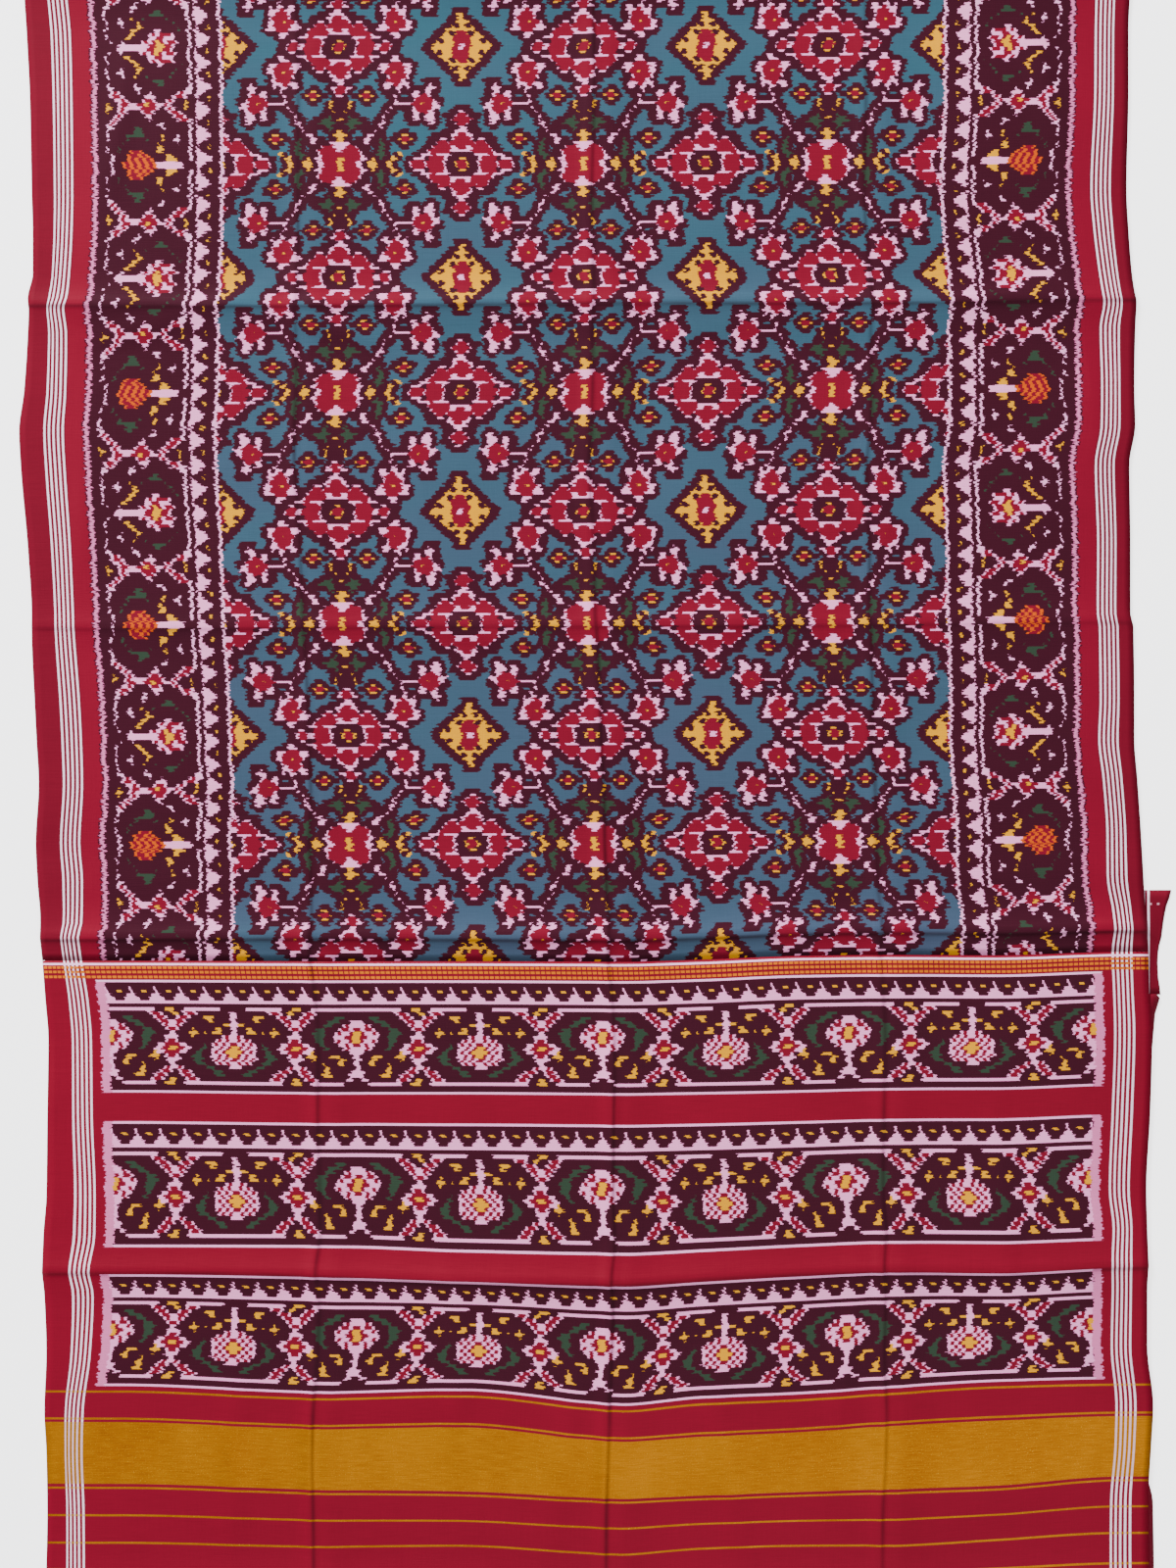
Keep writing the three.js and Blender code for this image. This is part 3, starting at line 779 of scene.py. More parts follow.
# Half of the border repeat, from the flower's row to the round pomegranate's row
BORDER_CHART = (
    "mmmmmpppppppprryyrrpmmmw",
    "mmmwmmwmmmmprpryrprrpmmw",
    "mmwmmmmyymmmmpprrpppmmmw",
    "mmwmmmmmyymmmprprrrpmmmw",
    "mmwmmmmmmyymmmmppmmmmgmw",
    "mmwmmmwmmmyymmmmmmmmgmmw",
    "mmwmmwwmmmymmmmmmmmgmmmw",
    "mmwmmmwmmymmgmmmmmgmmmmw",
    "mmwmmmmmmmmmmmggggmmmmmw",
    "mmwmmmmmmwmmmmmggmmmmmmw",
    "mmwwmmmmmwwmmmmmmmmmmmww",
    "mmmwrpmmmmwmmpmmmmmmprpw",
    "mmmprrpmmmmmpppmmmmprrpm",
    "mmmmpprpmmmprrpmmprpmmym",
    "mmymmprrpprryrrpprpmmmym",
    "mmyymprpppprrrrpmprpmmym",
    "mmymmprpmmmprrpmmmprrpmm",
    "mmmmprpmmmmmppmmmmmprrpm",
    "mmmprpmmmmmmmpmmmmmmprrw",
    "mmwrpmmmmmmmmmmwwmmmmmmw",
    "mmwwmmmmmggmmmmmwmmmmmmw",
    "mmwmmmmmmgggmmmmmmmmmmmw",
    "mmwmmmmgggggmmmmymmmwmmw",
    "mmwmmmmgmmmmgmmmymmwwmmw",
    "mmmmmmgmmmmmmmmymmmmwmmw",
    "mmwmmgmmmmmmmmmyymmmmmmw",
    "mmwmmgmmorrommmyymmmmmmw",
    "mmmwmmmorrorommmmyymmmmw",
    "mmmwmmmorororommmyyymmmw",
    "mmmwmmororororopppppppmm",
)

# Inner side of the border: pale points that the field begins behind, one row for each step off their tip
POINTS_CHART = ("mppppmmw", "mpppmmmw", "mppmmmmw", "mpmmymmw")

# Pallu band between its two inner lines: hexagons with an upright flower and a hanging round one
HEXAGON_CHART = (
    "ppppppppppppmmyyymmppppppppppmmm",
    "mmmmmmmmmmprrpmmyymprrpmmmmmmmmp",
    "mmmgggmmmmmprrpmmprrpmmmyyymmmmp",
    "ppmmggggmmmmprrpprrpmmmmmyymmmmp",
    "pprpmmgggmmmmprpprpmmmmmmmmmmyyp",
    "rprrpmmmgggmmmprrpmmmymmmmmyymmp",
    "yrpprpmmggggmmmppmmmyyymymyyymmp",
    "yrrpppmmgggmmmppppmmmymmmmmmmprp",
    "yrpprpmmgggmmmprrpmmmmmmmmmprprp",
    "rprppmmmggmmpprrrrppmmmmgmprprpr",
    "pprpmmmggmmpprryyrrppmmggmpprpry",
    "ppmmmmmmmmmypprrrrppmmggmmprpryy",
    "pmmmyyymmmyyymprrpmmmgggmmpprpry",
    "pmmyymmmmmmymmppppmmmgggmmprprpr",
    "pmmyymmmymmmmmmppmmmmmgggmmprprp",
    "pmmmmmmyymmmmprpprpmmmmmgggmmmpp",
    "ppmmmmmyymmmprrpmprrpmmmmmgggmmm",
    "ppmmmmyyymmprrpmmmprrpmmmmmgggmm",
    "mppmmmmmmmprrpmyymmprrpmmmmmmmmm",
    "mmmpppppppppmmyyymmppppppppppppp",
)

# Teeth along the top of a pallu band
TEETH_CHART = ("mmmmmmmm", "pmmmmmmm", "pmmmmmyy", "pppmmmmm", "pppppmmm", "pppppppp")


def srgb(red: float, green: float, blue: float) -> tuple[float, float, float, float]:
    """Return a colour given as sRGB bytes in the linear values that the shader takes."""
    parts = [value / 255 for value in (red, green, blue)]
    linear = [part / 12.92 if part <= 0.04045 else ((part + 0.055) / 1.055) ** 2.4 for part in parts]
    return (*linear, 1.0)


# Colours of the dyes, tuned against the picture under this scene's own light
DYE_COLOURS = {
    Dye.MAROON: srgb(59, 15, 31),
    Dye.RED: srgb(121, 14, 39),
    Dye.ORANGE: srgb(205, 82, 0),
    Dye.YELLOW: srgb(228, 156, 0),
    Dye.PINK: srgb(255, 160, 215),
    Dye.WHITE: srgb(255, 170, 222),
    Dye.GREEN: srgb(46, 63, 49),
    Dye.GROUND: srgb(36, 92, 104),
}
GROUND_DRIFT = srgb(68, 74, 100)
SELVEDGE_RED = srgb(112, 13, 36)
FIELD_SIDE_RED = srgb(126, 13, 40)
PALLU_CRIMSON = srgb(126, 12, 38)
STRIPE_WHITE = srgb(255, 225, 245)
FEATHER_PINK = srgb(222, 120, 172)
DASH_ORANGE = srgb(216, 112, 0)
LINE_WHITE = srgb(255, 190, 230)
ZARI_GOLD = srgb(188, 120, 0)
ZARI_DULL = srgb(158, 90, 0)
# Paler gold for the glints painted on the metal thread
ZARI_GLINT_PAINTED = srgb(232, 172, 40)
FLOOR_WHITE = srgb(240, 240, 242)


@dataclass(frozen=True)
class SilkFinish:
    """How silk takes the light."""

    roughness: float
    sheen: float
    sheen_roughness: float
    specular: float
    weave: float


FIELD_FINISH = SilkFinish(roughness=0.6, sheen=0.02, sheen_roughness=0.45, specular=0.06, weave=0.4)
PALLU_FINISH = SilkFinish(roughness=0.56, sheen=0.02, sheen_roughness=0.42, specular=0.07, weave=0.36)
UNDER_FINISH = SilkFinish(roughness=0.62, sheen=0.02, sheen_roughness=0.5, specular=0.06, weave=0.4)

Value = float | bpy.types.NodeSocket


class Graph:
    """Builds one node tree in few words."""

    def __init__(self, tree: bpy.types.NodeTree) -> None:
        self.tree = tree

    def node(self, kind: str, **settings: object) -> bpy.types.Node:
        """Add a node and set its plain properties."""
        made = self.tree.nodes.new(kind)
        for key, value in settings.items():
            setattr(made, key, value)
        return made

    def feed(self, socket: bpy.types.NodeSocket, value: object) -> None:
        """Link a socket to another, or give it a plain value."""
        if isinstance(value, bpy.types.NodeSocket):
            self.tree.links.new(value, socket)
        else:
            socket.default_value = value

    def math(self, operation: str, *values: Value) -> bpy.types.NodeSocket:
        """Return the result of one maths node."""
        made = self.node("ShaderNodeMath", operation=operation)
        for socket, value in zip(made.inputs, values):
            self.feed(socket, value)
        return made.outputs[0]

    def add(self, a: Value, b: Value) -> bpy.types.NodeSocket:
        """Return a + b."""
        return self.math("ADD", a, b)

    def times(self, a: Value, b: Value) -> bpy.types.NodeSocket:
        """Return a x b."""
        return self.math("MULTIPLY", a, b)

    def less(self, a: Value, b: Value) -> bpy.types.NodeSocket:
        """Return a - b."""
        return self.math("SUBTRACT", a, b)

    def within(self, value: Value, low: Value, high: Value) -> bpy.types.NodeSocket:
        """Return 1 where a value lies between two others."""
        return self.times(self.math("GREATER_THAN", value, low), self.math("LESS_THAN", value, high))

    def near(self, value: Value, place: Value, half: Value) -> bpy.types.NodeSocket:
        """Return 1 where a value is within half a width of a place."""
        return self.math("COMPARE", value, place, half)

    def mix(self, factor: Value, a: object, b: object, blend: str = "MIX") -> bpy.types.NodeSocket:
        """Return colour a passing into colour b."""
        made = self.node("ShaderNodeMix", data_type="RGBA", blend_type=blend)
        self.feed(made.inputs["Factor"], factor)
        self.feed(made.inputs[6], a)
        self.feed(made.inputs[7], b)
        return made.outputs[2]

    def vector(self, x: Value, y: Value, z: Value = 0.0) -> bpy.types.NodeSocket:
        """Return a vector of three values."""
        made = self.node("ShaderNodeCombineXYZ")
        for socket, value in zip(made.inputs, (x, y, z)):
            self.feed(socket, value)
        return made.outputs[0]

    def noise(self, vector: object, scale: float, detail: float = 2.0, roughness: float = 0.5) -> object:
        """Return a noise from 0 to 1 over a vector."""
        made = self.node("ShaderNodeTexNoise")
        self.feed(made.inputs["Vector"], vector)
        made.inputs["Scale"].default_value = scale
        made.inputs["Detail"].default_value = detail
        made.inputs["Roughness"].default_value = roughness
        return made.outputs["Fac"]

    def grain(self, place: Sequence[Value], scale: Sequence[float], *shape: float) -> object:
        """Return a noise over a place across and down, scaled on each, with its detail and roughness."""
        stretched = [self.times(value, by) for value, by in zip(place, scale)]
        return self.noise(self.vector(*stretched), 1.0, *shape)

    def speckle(self, value: Value) -> bpy.types.NodeSocket:
        """Return an even random value for every whole number."""
        made = self.node("ShaderNodeTexWhiteNoise", noise_dimensions="1D")
        self.feed(made.inputs["W"], value)
        return made.outputs["Value"]

    def use(self, group: bpy.types.NodeTree, **inlets: object) -> bpy.types.Node:
        """Add a group and feed its inlets by name."""
        made = self.node("ShaderNodeGroup", node_tree=group)
        for name, value in inlets.items():
            self.feed(made.inputs[name.replace("_", " ")], value)
        return made


class ShaderGroup(Graph):
    """A shader group with named inlets and outlets."""

    def __init__(self, name: str, inlets: dict[str, object], outlets: dict[str, str]) -> None:
        super().__init__(bpy.data.node_groups.new(name, "ShaderNodeTree"))
        for label, default in inlets.items():
            kind = "NodeSocketColor" if isinstance(default, tuple) else "NodeSocketFloat"
            socket = self.tree.interface.new_socket(label, in_out="INPUT", socket_type=kind)
            socket.default_value = default
        for label, kind in outlets.items():
            self.tree.interface.new_socket(label, in_out="OUTPUT", socket_type=kind)
        self.inlets = self.node("NodeGroupInput").outputs
        self.outlets = self.node("NodeGroupOutput").inputs

    def give(self, label: str, value: object) -> None:
        """Feed one outlet."""
        self.feed(self.outlets[label], value)


FLOAT = "NodeSocketFloat"
COLOUR = "NodeSocketColor"
PALETTE_STEP = 0.1
DYE_ORDER = list(Dye)
DYE_COUNT = len(DYE_ORDER)
ROWS_A_CHANNEL = 7
CHANNELS = 3
ROWS_A_RAMP = ROWS_A_CHANNEL * CHANNELS
CODE_RANGE = float(DYE_COUNT**ROWS_A_CHANNEL)


def chart_code(letters: Sequence[str]) -> float:
    """Return the inks of up to seven letters packed into one number from 0 to 1."""
    inks = [DYE_ORDER.index(Dye(letter)) for letter in letters]
    return sum(ink * DYE_COUNT**n for n, ink in enumerate(inks)) / CODE_RANGE


def chart_ramp(graph: Graph, rows: Sequence[str], place: object) -> bpy.types.NodeSocket:
    """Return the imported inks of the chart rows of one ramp, at a place from 0 to 1."""
    ramp = graph.node("ShaderNodeValToRGB")
    ramp.color_ramp.interpolation = "CONSTANT"
    stops = ramp.color_ramp.elements
    stops.remove(stops[1])
    width = len(rows[0])
    for column in range(width):
        letters = [row[column] for row in rows]
        starts = range(0, ROWS_A_RAMP, ROWS_A_CHANNEL)
        codes = [chart_code(letters[start:start + ROWS_A_CHANNEL]) for start in starts]
        stop = stops.new(column / width) if column else stops[0]
        stop.position = column / width
        stop.color = (*codes, 1)
    graph.feed(ramp.inputs[0], place)
    return ramp.outputs[0]


def chart_group(name: str, chart: Sequence[str]) -> bpy.types.NodeTree:
    """Return a group that reads the ink of a chart at a place from 0 to 1 and a row in cells."""
    group = ShaderGroup(name, {"Place": 0.0, "Row": 0.0}, {"Ink": FLOAT})
    row = group.math("FLOOR", group.math("MINIMUM", group.inlets["Row"], len(chart) - 0.01))
    bank = group.math("FLOOR", group.math("DIVIDE", group.add(row, 0.5), float(ROWS_A_RAMP)))
    rest = group.math("MULTIPLY_ADD", bank, -float(ROWS_A_RAMP), row)
    channel = group.math("FLOOR", group.math("DIVIDE", group.add(rest, 0.5), float(ROWS_A_CHANNEL)))
    step = group.math("MULTIPLY_ADD", channel, -float(ROWS_A_CHANNEL), rest)
    chosen = group.vector(*[group.near(channel, float(n), 0.5) for n in range(CHANNELS)])
    value = 0.0
    for number, start in enumerate(range(0, len(chart), ROWS_A_RAMP)):
        colours = chart_ramp(group, chart[start:start + ROWS_A_RAMP], group.inlets["Place"])
        dot = group.node("ShaderNodeVectorMath", operation="DOT_PRODUCT")
        group.feed(dot.inputs[0], colours)
        group.feed(dot.inputs[1], chosen)
        here = group.near(bank, float(number), 0.5)
        value = group.math("MULTIPLY_ADD", dot.outputs["Value"], here, value)
    code = group.math("MULTIPLY_ADD", value, CODE_RANGE, 0.5)
    digit = group.math("FLOOR", group.math("DIVIDE", code, group.math("POWER", float(DYE_COUNT), step)))
    group.give("Ink", group.times(group.math("MODULO", digit, float(DYE_COUNT)), PALETTE_STEP))
    return group.tree


def bled_chart(name: str, chart: Sequence[str], folded: bool, only_maroon: bool) -> bpy.types.NodeTree:
    """Return a group that reads a chart with the darker dyes bled a little over the paler ones.

    Args:
        name: name of the group.
        chart: rows of dye letters.
        folded: whether the chart is mirrored at its left and right ends.
        only_maroon: whether maroon alone bleeds.

    Returns:
        A group with a column and a row in cells, and how far the dyes bleed, in cells.
    """
    plain = chart_group(name + "Plain", chart)
    group = ShaderGroup(name, {"Column": 0.0, "Row": 0.0, "Wide": 0.3, "Tall": 0.25}, {"Ink": FLOAT})
    inlets = group.inlets
    width = float(len(chart[0]))
    height = float(len(chart))
    ink = 1.0
    for wide, tall in ((1.0, 0.0), (-1.0, 0.0), (0.0, 1.0), (0.0, -1.0)):
        column = group.math("MULTIPLY_ADD", inlets["Wide"], wide, inlets["Column"])
        row = group.math("MULTIPLY_ADD", inlets["Tall"], tall, inlets["Row"])
        if folded:
            column = group.math("PINGPONG", column, width)
        place = group.math("DIVIDE", column, width)
        tap = group.use(plain, Place=place, Row=group.math("PINGPONG", row, height)).outputs["Ink"]
        ink = group.math("MINIMUM", tap, ink)
    if only_maroon:
        place = group.math("DIVIDE", inlets["Column"], width)
        centre = group.use(plain, Place=place, Row=inlets["Row"]).outputs["Ink"]
        ink = group.times(centre, group.math("GREATER_THAN", ink, PALETTE_STEP / 2))
    group.give("Ink", ink)
    return group.tree


def palette_group(drift: Sequence[float]) -> bpy.types.NodeTree:
    """Return a group that turns an ink into its dye's colour."""
    group = ShaderGroup("DyePalette", {"Ink": 0.0, "Drift": 0.0}, {"Colour": COLOUR})
    ramp = group.node("ShaderNodeValToRGB")
    ramp.color_ramp.interpolation = "CONSTANT"
    stops = ramp.color_ramp.elements
    stops.remove(stops[1])
    for number, dye in enumerate(Dye):
        stop = stops[0] if number == 0 else stops.new(number * PALETTE_STEP)
        stop.position = number * PALETTE_STEP
        stop.color = DYE_COLOURS[dye]
    group.feed(ramp.inputs[0], group.add(group.inlets["Ink"], PALETTE_STEP / 2))
    last_ink = PALETTE_STEP * (len(Dye) - 1.5)
    is_ground = group.math("GREATER_THAN", group.inlets["Ink"], last_ink)
    amount = group.times(is_ground, group.inlets["Drift"])
    group.give("Colour", group.mix(amount, ramp.outputs[0], tuple(drift)))
    return group.tree


# Weft: the pitch of picks and bundles, how far each slips sideways, and the spread of the bleed
PICK = 0.75
BUNDLE = 1.9
PICK_SLIP = 1.6
BUNDLE_SLIP = 3.2
BLEED_SPREAD = 0.45
BLEED_LEAST = 0.1
SLIP_SEED = 4000.0
BLEED_SEED = 9000.0

# Selvedge stripes: pitch, width and how many pitches they reach either side of their middle
STRIPE_PITCH = 4.7
STRIPE_WIDTH = 2.3
STRIPE_REACH = 2.4

# Threads of the silk: grain of picks, of warp ends and of the broad cloudiness, and their strengths
PICK_GRAIN = (0.035, 1.1)
END_GRAIN = (1.3, 0.02)
CLOUD_GRAIN = (0.006, 0.011)
PICK_SHADE = 0.30
END_SHADE = 0.16
CLOUD_SHADE = 0.22
LEAST_SHADE = 0.66
PICK_ROUGHNESS = 0.2
PICK_HEIGHT = 0.6
END_HEIGHT = 0.4
WEAVE_DEPTH = 0.0006


def weft_group() -> bpy.types.NodeTree:
    """Return a group that shifts each weft bundle sideways, so that an ikat's edges feather."""
    group = ShaderGroup("WeftShift", {"Down": 0.0}, {"Shift": FLOAT, "Bleed": FLOAT})
    pick = group.math("FLOOR", group.math("DIVIDE", group.inlets["Down"], PICK))
    bundle = group.math("FLOOR", group.math("DIVIDE", group.inlets["Down"], BUNDLE))
    fine = group.less(group.speckle(pick), 0.5)
    coarse = group.less(group.speckle(group.add(bundle, SLIP_SEED)), 0.5)
    group.give("Shift", group.add(group.times(fine, PICK_SLIP), group.times(coarse, BUNDLE_SLIP)))
    spread = group.speckle(group.add(bundle, BLEED_SEED))
    group.give("Bleed", group.math("MULTIPLY_ADD", spread, BLEED_SPREAD, BLEED_LEAST))
    return group.tree


def stripes_group() -> bpy.types.NodeTree:
    """Return a group for the five pale warp stripes of a selvedge."""
    inlets = {"Edge": 0.0, "Centre": STRIPE_LEFT, "Pitch": STRIPE_PITCH, "Width": STRIPE_WIDTH}
    group = ShaderGroup("SelvedgeStripes", inlets, {"Stripe": FLOAT})
    pitch = group.inlets["Pitch"]
    away = group.math("DIVIDE", group.less(group.inlets["Edge"], group.inlets["Centre"]), pitch)
    number = group.math("ROUND", away)
    offset = group.times(group.math("ABSOLUTE", group.less(away, number)), pitch)
    line = group.math("LESS_THAN", offset, group.times(group.inlets["Width"], 0.5))
    group.give("Stripe", group.times(line, group.near(number, 0.0, STRIPE_REACH)))
    return group.tree


def silk_group() -> bpy.types.NodeTree:
    """Return a group that gives dyed silk its uneven threads: colour, roughness and bump height."""
    inlets = {"Colour": (0.5, 0.5, 0.5, 1.0), "Across": 0.0, "Down": 0.0, "Roughness": 0.5}
    outlets = {"Colour": COLOUR, "Roughness": FLOAT, "Height": FLOAT}
    group = ShaderGroup("SilkThreads", inlets, outlets)
    place = (group.inlets["Across"], group.inlets["Down"])
    picks = group.grain(place, PICK_GRAIN, 3.0, 0.6)
    ends = group.grain(place, END_GRAIN, 2.0, 0.55)
    cloud = group.grain(place, CLOUD_GRAIN, 2.0, 0.5)
    threads = group.add(group.times(picks, PICK_SHADE), group.times(ends, END_SHADE))
    light = group.add(group.add(threads, group.times(cloud, CLOUD_SHADE)), LEAST_SHADE)
    shade = group.node("ShaderNodeVectorMath", operation="SCALE")
    group.feed(shade.inputs[0], group.inlets["Colour"])
    group.feed(shade.inputs["Scale"], light)
    group.give("Colour", shade.outputs[0])
    uneven = group.times(group.less(picks, 0.5), PICK_ROUGHNESS)
    group.give("Roughness", group.add(group.inlets["Roughness"], uneven))
    group.give("Height", group.add(group.times(picks, PICK_HEIGHT), group.times(ends, END_HEIGHT)))
    return group.tree


class SilkGroups:
    """Every shader group of the cloth, made once and shared by the materials."""

    def __init__(self) -> None:
        self.field = bled_chart("FieldChart", FIELD_CHART, True, False)
        self.border = bled_chart("BorderChart", BORDER_CHART, False, True)
        self.points = bled_chart("PointsChart", POINTS_CHART, False, True)
        self.hexagons = bled_chart("HexagonChart", HEXAGON_CHART, True, True)
        self.teeth = bled_chart("TeethChart", TEETH_CHART, True, True)
        self.palette = palette_group(GROUND_DRIFT)
        self.weft = weft_group()
        self.stripes = stripes_group()
        self.silk = silk_group()


# Zones and chart sizes of the body, in millimetres across the cloth
FEATHER_FROM = 65.5
FEATHER_TO = 73.0
FRAY = 9.0
FRAY_OUTSIDE = 0.3
FRAY_LANES = (3.0, 57.0)
FRAY_RATES = (0.9, 0.7)
BORDER_FROM = 72.5
POINTS_FROM = 168.5
FIELD_FROM = 200.5
CELL = 4.0
FIELD_CENTRE = 570.5
FIELD_REACH = 125.0
FIELD_COLUMNS = 32.0
IKAT_CELLS = 30.0
POINT_PITCH = 6.0
POINT_ROWS = 4.0
SIDE_RED_FROM = 48.0
BLEED_TALL = 0.18

# Drift of the field's ground colour: grain, strength, and its rise from the top fold to the body's end
DRIFT_GRAIN = (0.004, 0.012)
DRIFT_STRENGTH = 0.6
DRIFT_RISE = 0.55
DRIFT_START = -0.1

# Zones of the pallu, in picture rows at the left edge
BODY_LINE = 983.5
DASHED_LINES = (987.0, 991.5, 996.5)
BAR_LINE = 1000.5
BANDS = ((1000.5, 1113.5), (1144.5, 1271.0), (1300.0, 1412.5))
BAND_CELLS = 28.6
BAND_CELL_FROM = 0.9
BAND_BAR = (56.5, 65.5)
BAND_CENTRE = 569.5
BAND_REACH = 125.85
GOLD_LINES = (1419.0, 1446.5, 1517.0, 1545.0, 1573.0, 1600.0)
ZARI = (1450.0, 1513.0)

# Widths of the weft lines in millimetres, and the dashes' pitch and gap
BODY_LINE_WIDTH = 2.2
DASHED_WIDTH = 2.6
BAR_LINE_WIDTH = 1.8
GOLD_WIDTH = 2.0
DASHES_A_MM = 0.19
DASH_GAP = 0.22

# Rows of a band in chart cells: the teeth, the hexagons, and the two pale lines at its ends
TEETH_ROWS = (1.3, 6.7)
TEETH_CELL = 0.9
TEETH_REPEATS = 10
TEETH_COLUMNS = 8.0
HEXAGON_ROWS = (7.7, 27.5)
HEXAGON_CELL = 0.99
HEXAGON_COLUMNS = 32.0
END_LINES = (0.95, 29.4)
END_LINE_HALF = 0.3

# Metal thread: how it shines, how far the stripes cover it, and its streaks, wear and painted glints
GOLD_METAL = 0.55
GOLD_SMOOTHER = -0.12
STRIPE_COVER = 0.6
STREAK_GRAIN = (0.05, 0.9)
WORN_GRAIN = (0.012, 0.006)
GLINT_GRAIN = (0.8, 0.8)
STREAK_SHARE = 0.55
WORN_SHARE = 0.45
GOLD_CONTRAST = 3.2
GOLD_MIDDLE = 0.45
GLINT_FROM = 0.6
GLINT_GAIN = 5.0

# Painted shade along the pressed lines: its half width, strength, dark colour and patchiness
CREASE_SHADE_HALF = 3.2
CREASE_SHADE_STRENGTH = 0.42
CREASE_SHADE_COLOUR = srgb(40, 8, 18)
CREASE_SHADE_GRAIN = (0.02, 0.02)

# Pin holes in the inner end's selvedge
PIN_HOLES_ACROSS = (1114.5, 1122.5)
PIN_HOLES_DOWN = 1408.5
PIN_HOLE_HALF = (1.3, 1.1)
PIN_HOLE_PALE = srgb(214, 150, 170)


class SilkMaterial:
    """Common ground of the silk materials: cloth coordinates in, a lit surface out."""

    def __init__(self, name: str, groups: SilkGroups, finish: SilkFinish) -> None:
        self.groups = groups
        self.finish = finish
        self.material = bpy.data.materials.new(name)
        self.material.use_nodes = True
        self.graph = Graph(self.material.node_tree)
        self.shader = self.material.node_tree.nodes["Principled BSDF"]
        self.across, self.down = self.read("cloth")
        _, self.repeat = self.read("ikat")
        mirrored = self.graph.less(MIRROR_WIDTH, self.across)
        self.edge = self.graph.math("MINIMUM", self.across, mirrored)

    def read(self, layer: str) -> tuple[bpy.types.NodeSocket, bpy.types.NodeSocket]:
        """Return both coordinates of a UV map, in millimetres."""
        graph = self.graph
        source = graph.node("ShaderNodeUVMap", uv_map=layer)
        parts = graph.node("ShaderNodeSeparateXYZ")
        graph.feed(parts.inputs[0], source.outputs[0])
        return graph.times(parts.outputs[0], 1000.0), graph.times(parts.outputs[1], 1000.0)

    def finished(
        self, colour: object, metallic: object = 0.0, roughness: object = None,
    ) -> bpy.types.Material:
        """Return the material with its threads, sheen and bump."""
        graph = self.graph
        shader = self.shader.inputs
        rough = self.finish.roughness if roughness is None else roughness
        silk = graph.use(
            self.groups.silk, Colour=colour, Across=self.across, Down=self.down, Roughness=rough,
        ).outputs
        graph.feed(shader["Base Color"], silk["Colour"])
        graph.feed(shader["Roughness"], silk["Roughness"])
        graph.feed(shader["Metallic"], metallic)
        shader["Sheen Weight"].default_value = self.finish.sheen
        shader["Sheen Roughness"].default_value = self.finish.sheen_roughness
        shader["Specular IOR Level"].default_value = self.finish.specular
        bump = graph.node("ShaderNodeBump")
        bump.inputs["Strength"].default_value = self.finish.weave
        bump.inputs["Distance"].default_value = WEAVE_DEPTH
        graph.feed(bump.inputs["Height"], silk["Height"])
        graph.feed(shader["Normal"], bump.outputs[0])
        return self.material

    def painted_crease_shade(self, colour: bpy.types.NodeSocket) -> bpy.types.NodeSocket:
        """Return the colour with painted shade along the pressed lines, on the flank turned from the light,
        more in some places.
        """
        graph = self.graph
        depth = 0.0
        runs = ((FOLD_LINES, self.across, self.down), (UPRIGHT_LINES, self.down, self.across))
        for lines, along, aside in runs:
            for line in lines:
                sway = graph.math("SINE", graph.math("MULTIPLY_ADD", along, 1 / line.wave, line.place))
                crest = graph.math("MULTIPLY_ADD", sway, line.wander, line.place + line.below / 3)
                apart = graph.math("ABSOLUTE", graph.less(aside, crest))
                height = sum(line.heights) / len(line.heights)
                here = graph.math("MULTIPLY_ADD", apart, -height / CREASE_SHADE_HALF, height)
                depth = graph.math("MAXIMUM", here, depth)
        # Painted shade: the colour darkens towards dark maroon a third of a flank down each crease, in
        # patches
        patchy = graph.grain((self.across, self.down), CREASE_SHADE_GRAIN)
        amount = graph.times(graph.times(depth, patchy), CREASE_SHADE_STRENGTH)
        return graph.mix(amount, colour, CREASE_SHADE_COLOUR)

    def mirrored(self, value: object, centre: float, reach: float, cells: float) -> bpy.types.NodeSocket:
        """Return a value folded to and fro about a centre, in chart cells."""
        graph = self.graph
        folded = graph.math("PINGPONG", graph.less(value, centre), reach)
        return graph.times(folded, cells / reach)

    def chart_ink(self, chart: bpy.types.NodeTree, column: object, row: object, bleed: object) -> object:
        """Return the ink of a chart at a column and a row, bled a little down the cloth as well."""
        read = self.graph.use(chart, Column=column, Row=row, Wide=bleed, Tall=BLEED_TALL)
        return read.outputs["Ink"]

    def stripe(self) -> bpy.types.NodeSocket:
        """Return the selvedge stripes' mask."""
        return self.graph.use(self.groups.stripes, Edge=self.edge).outputs["Stripe"]


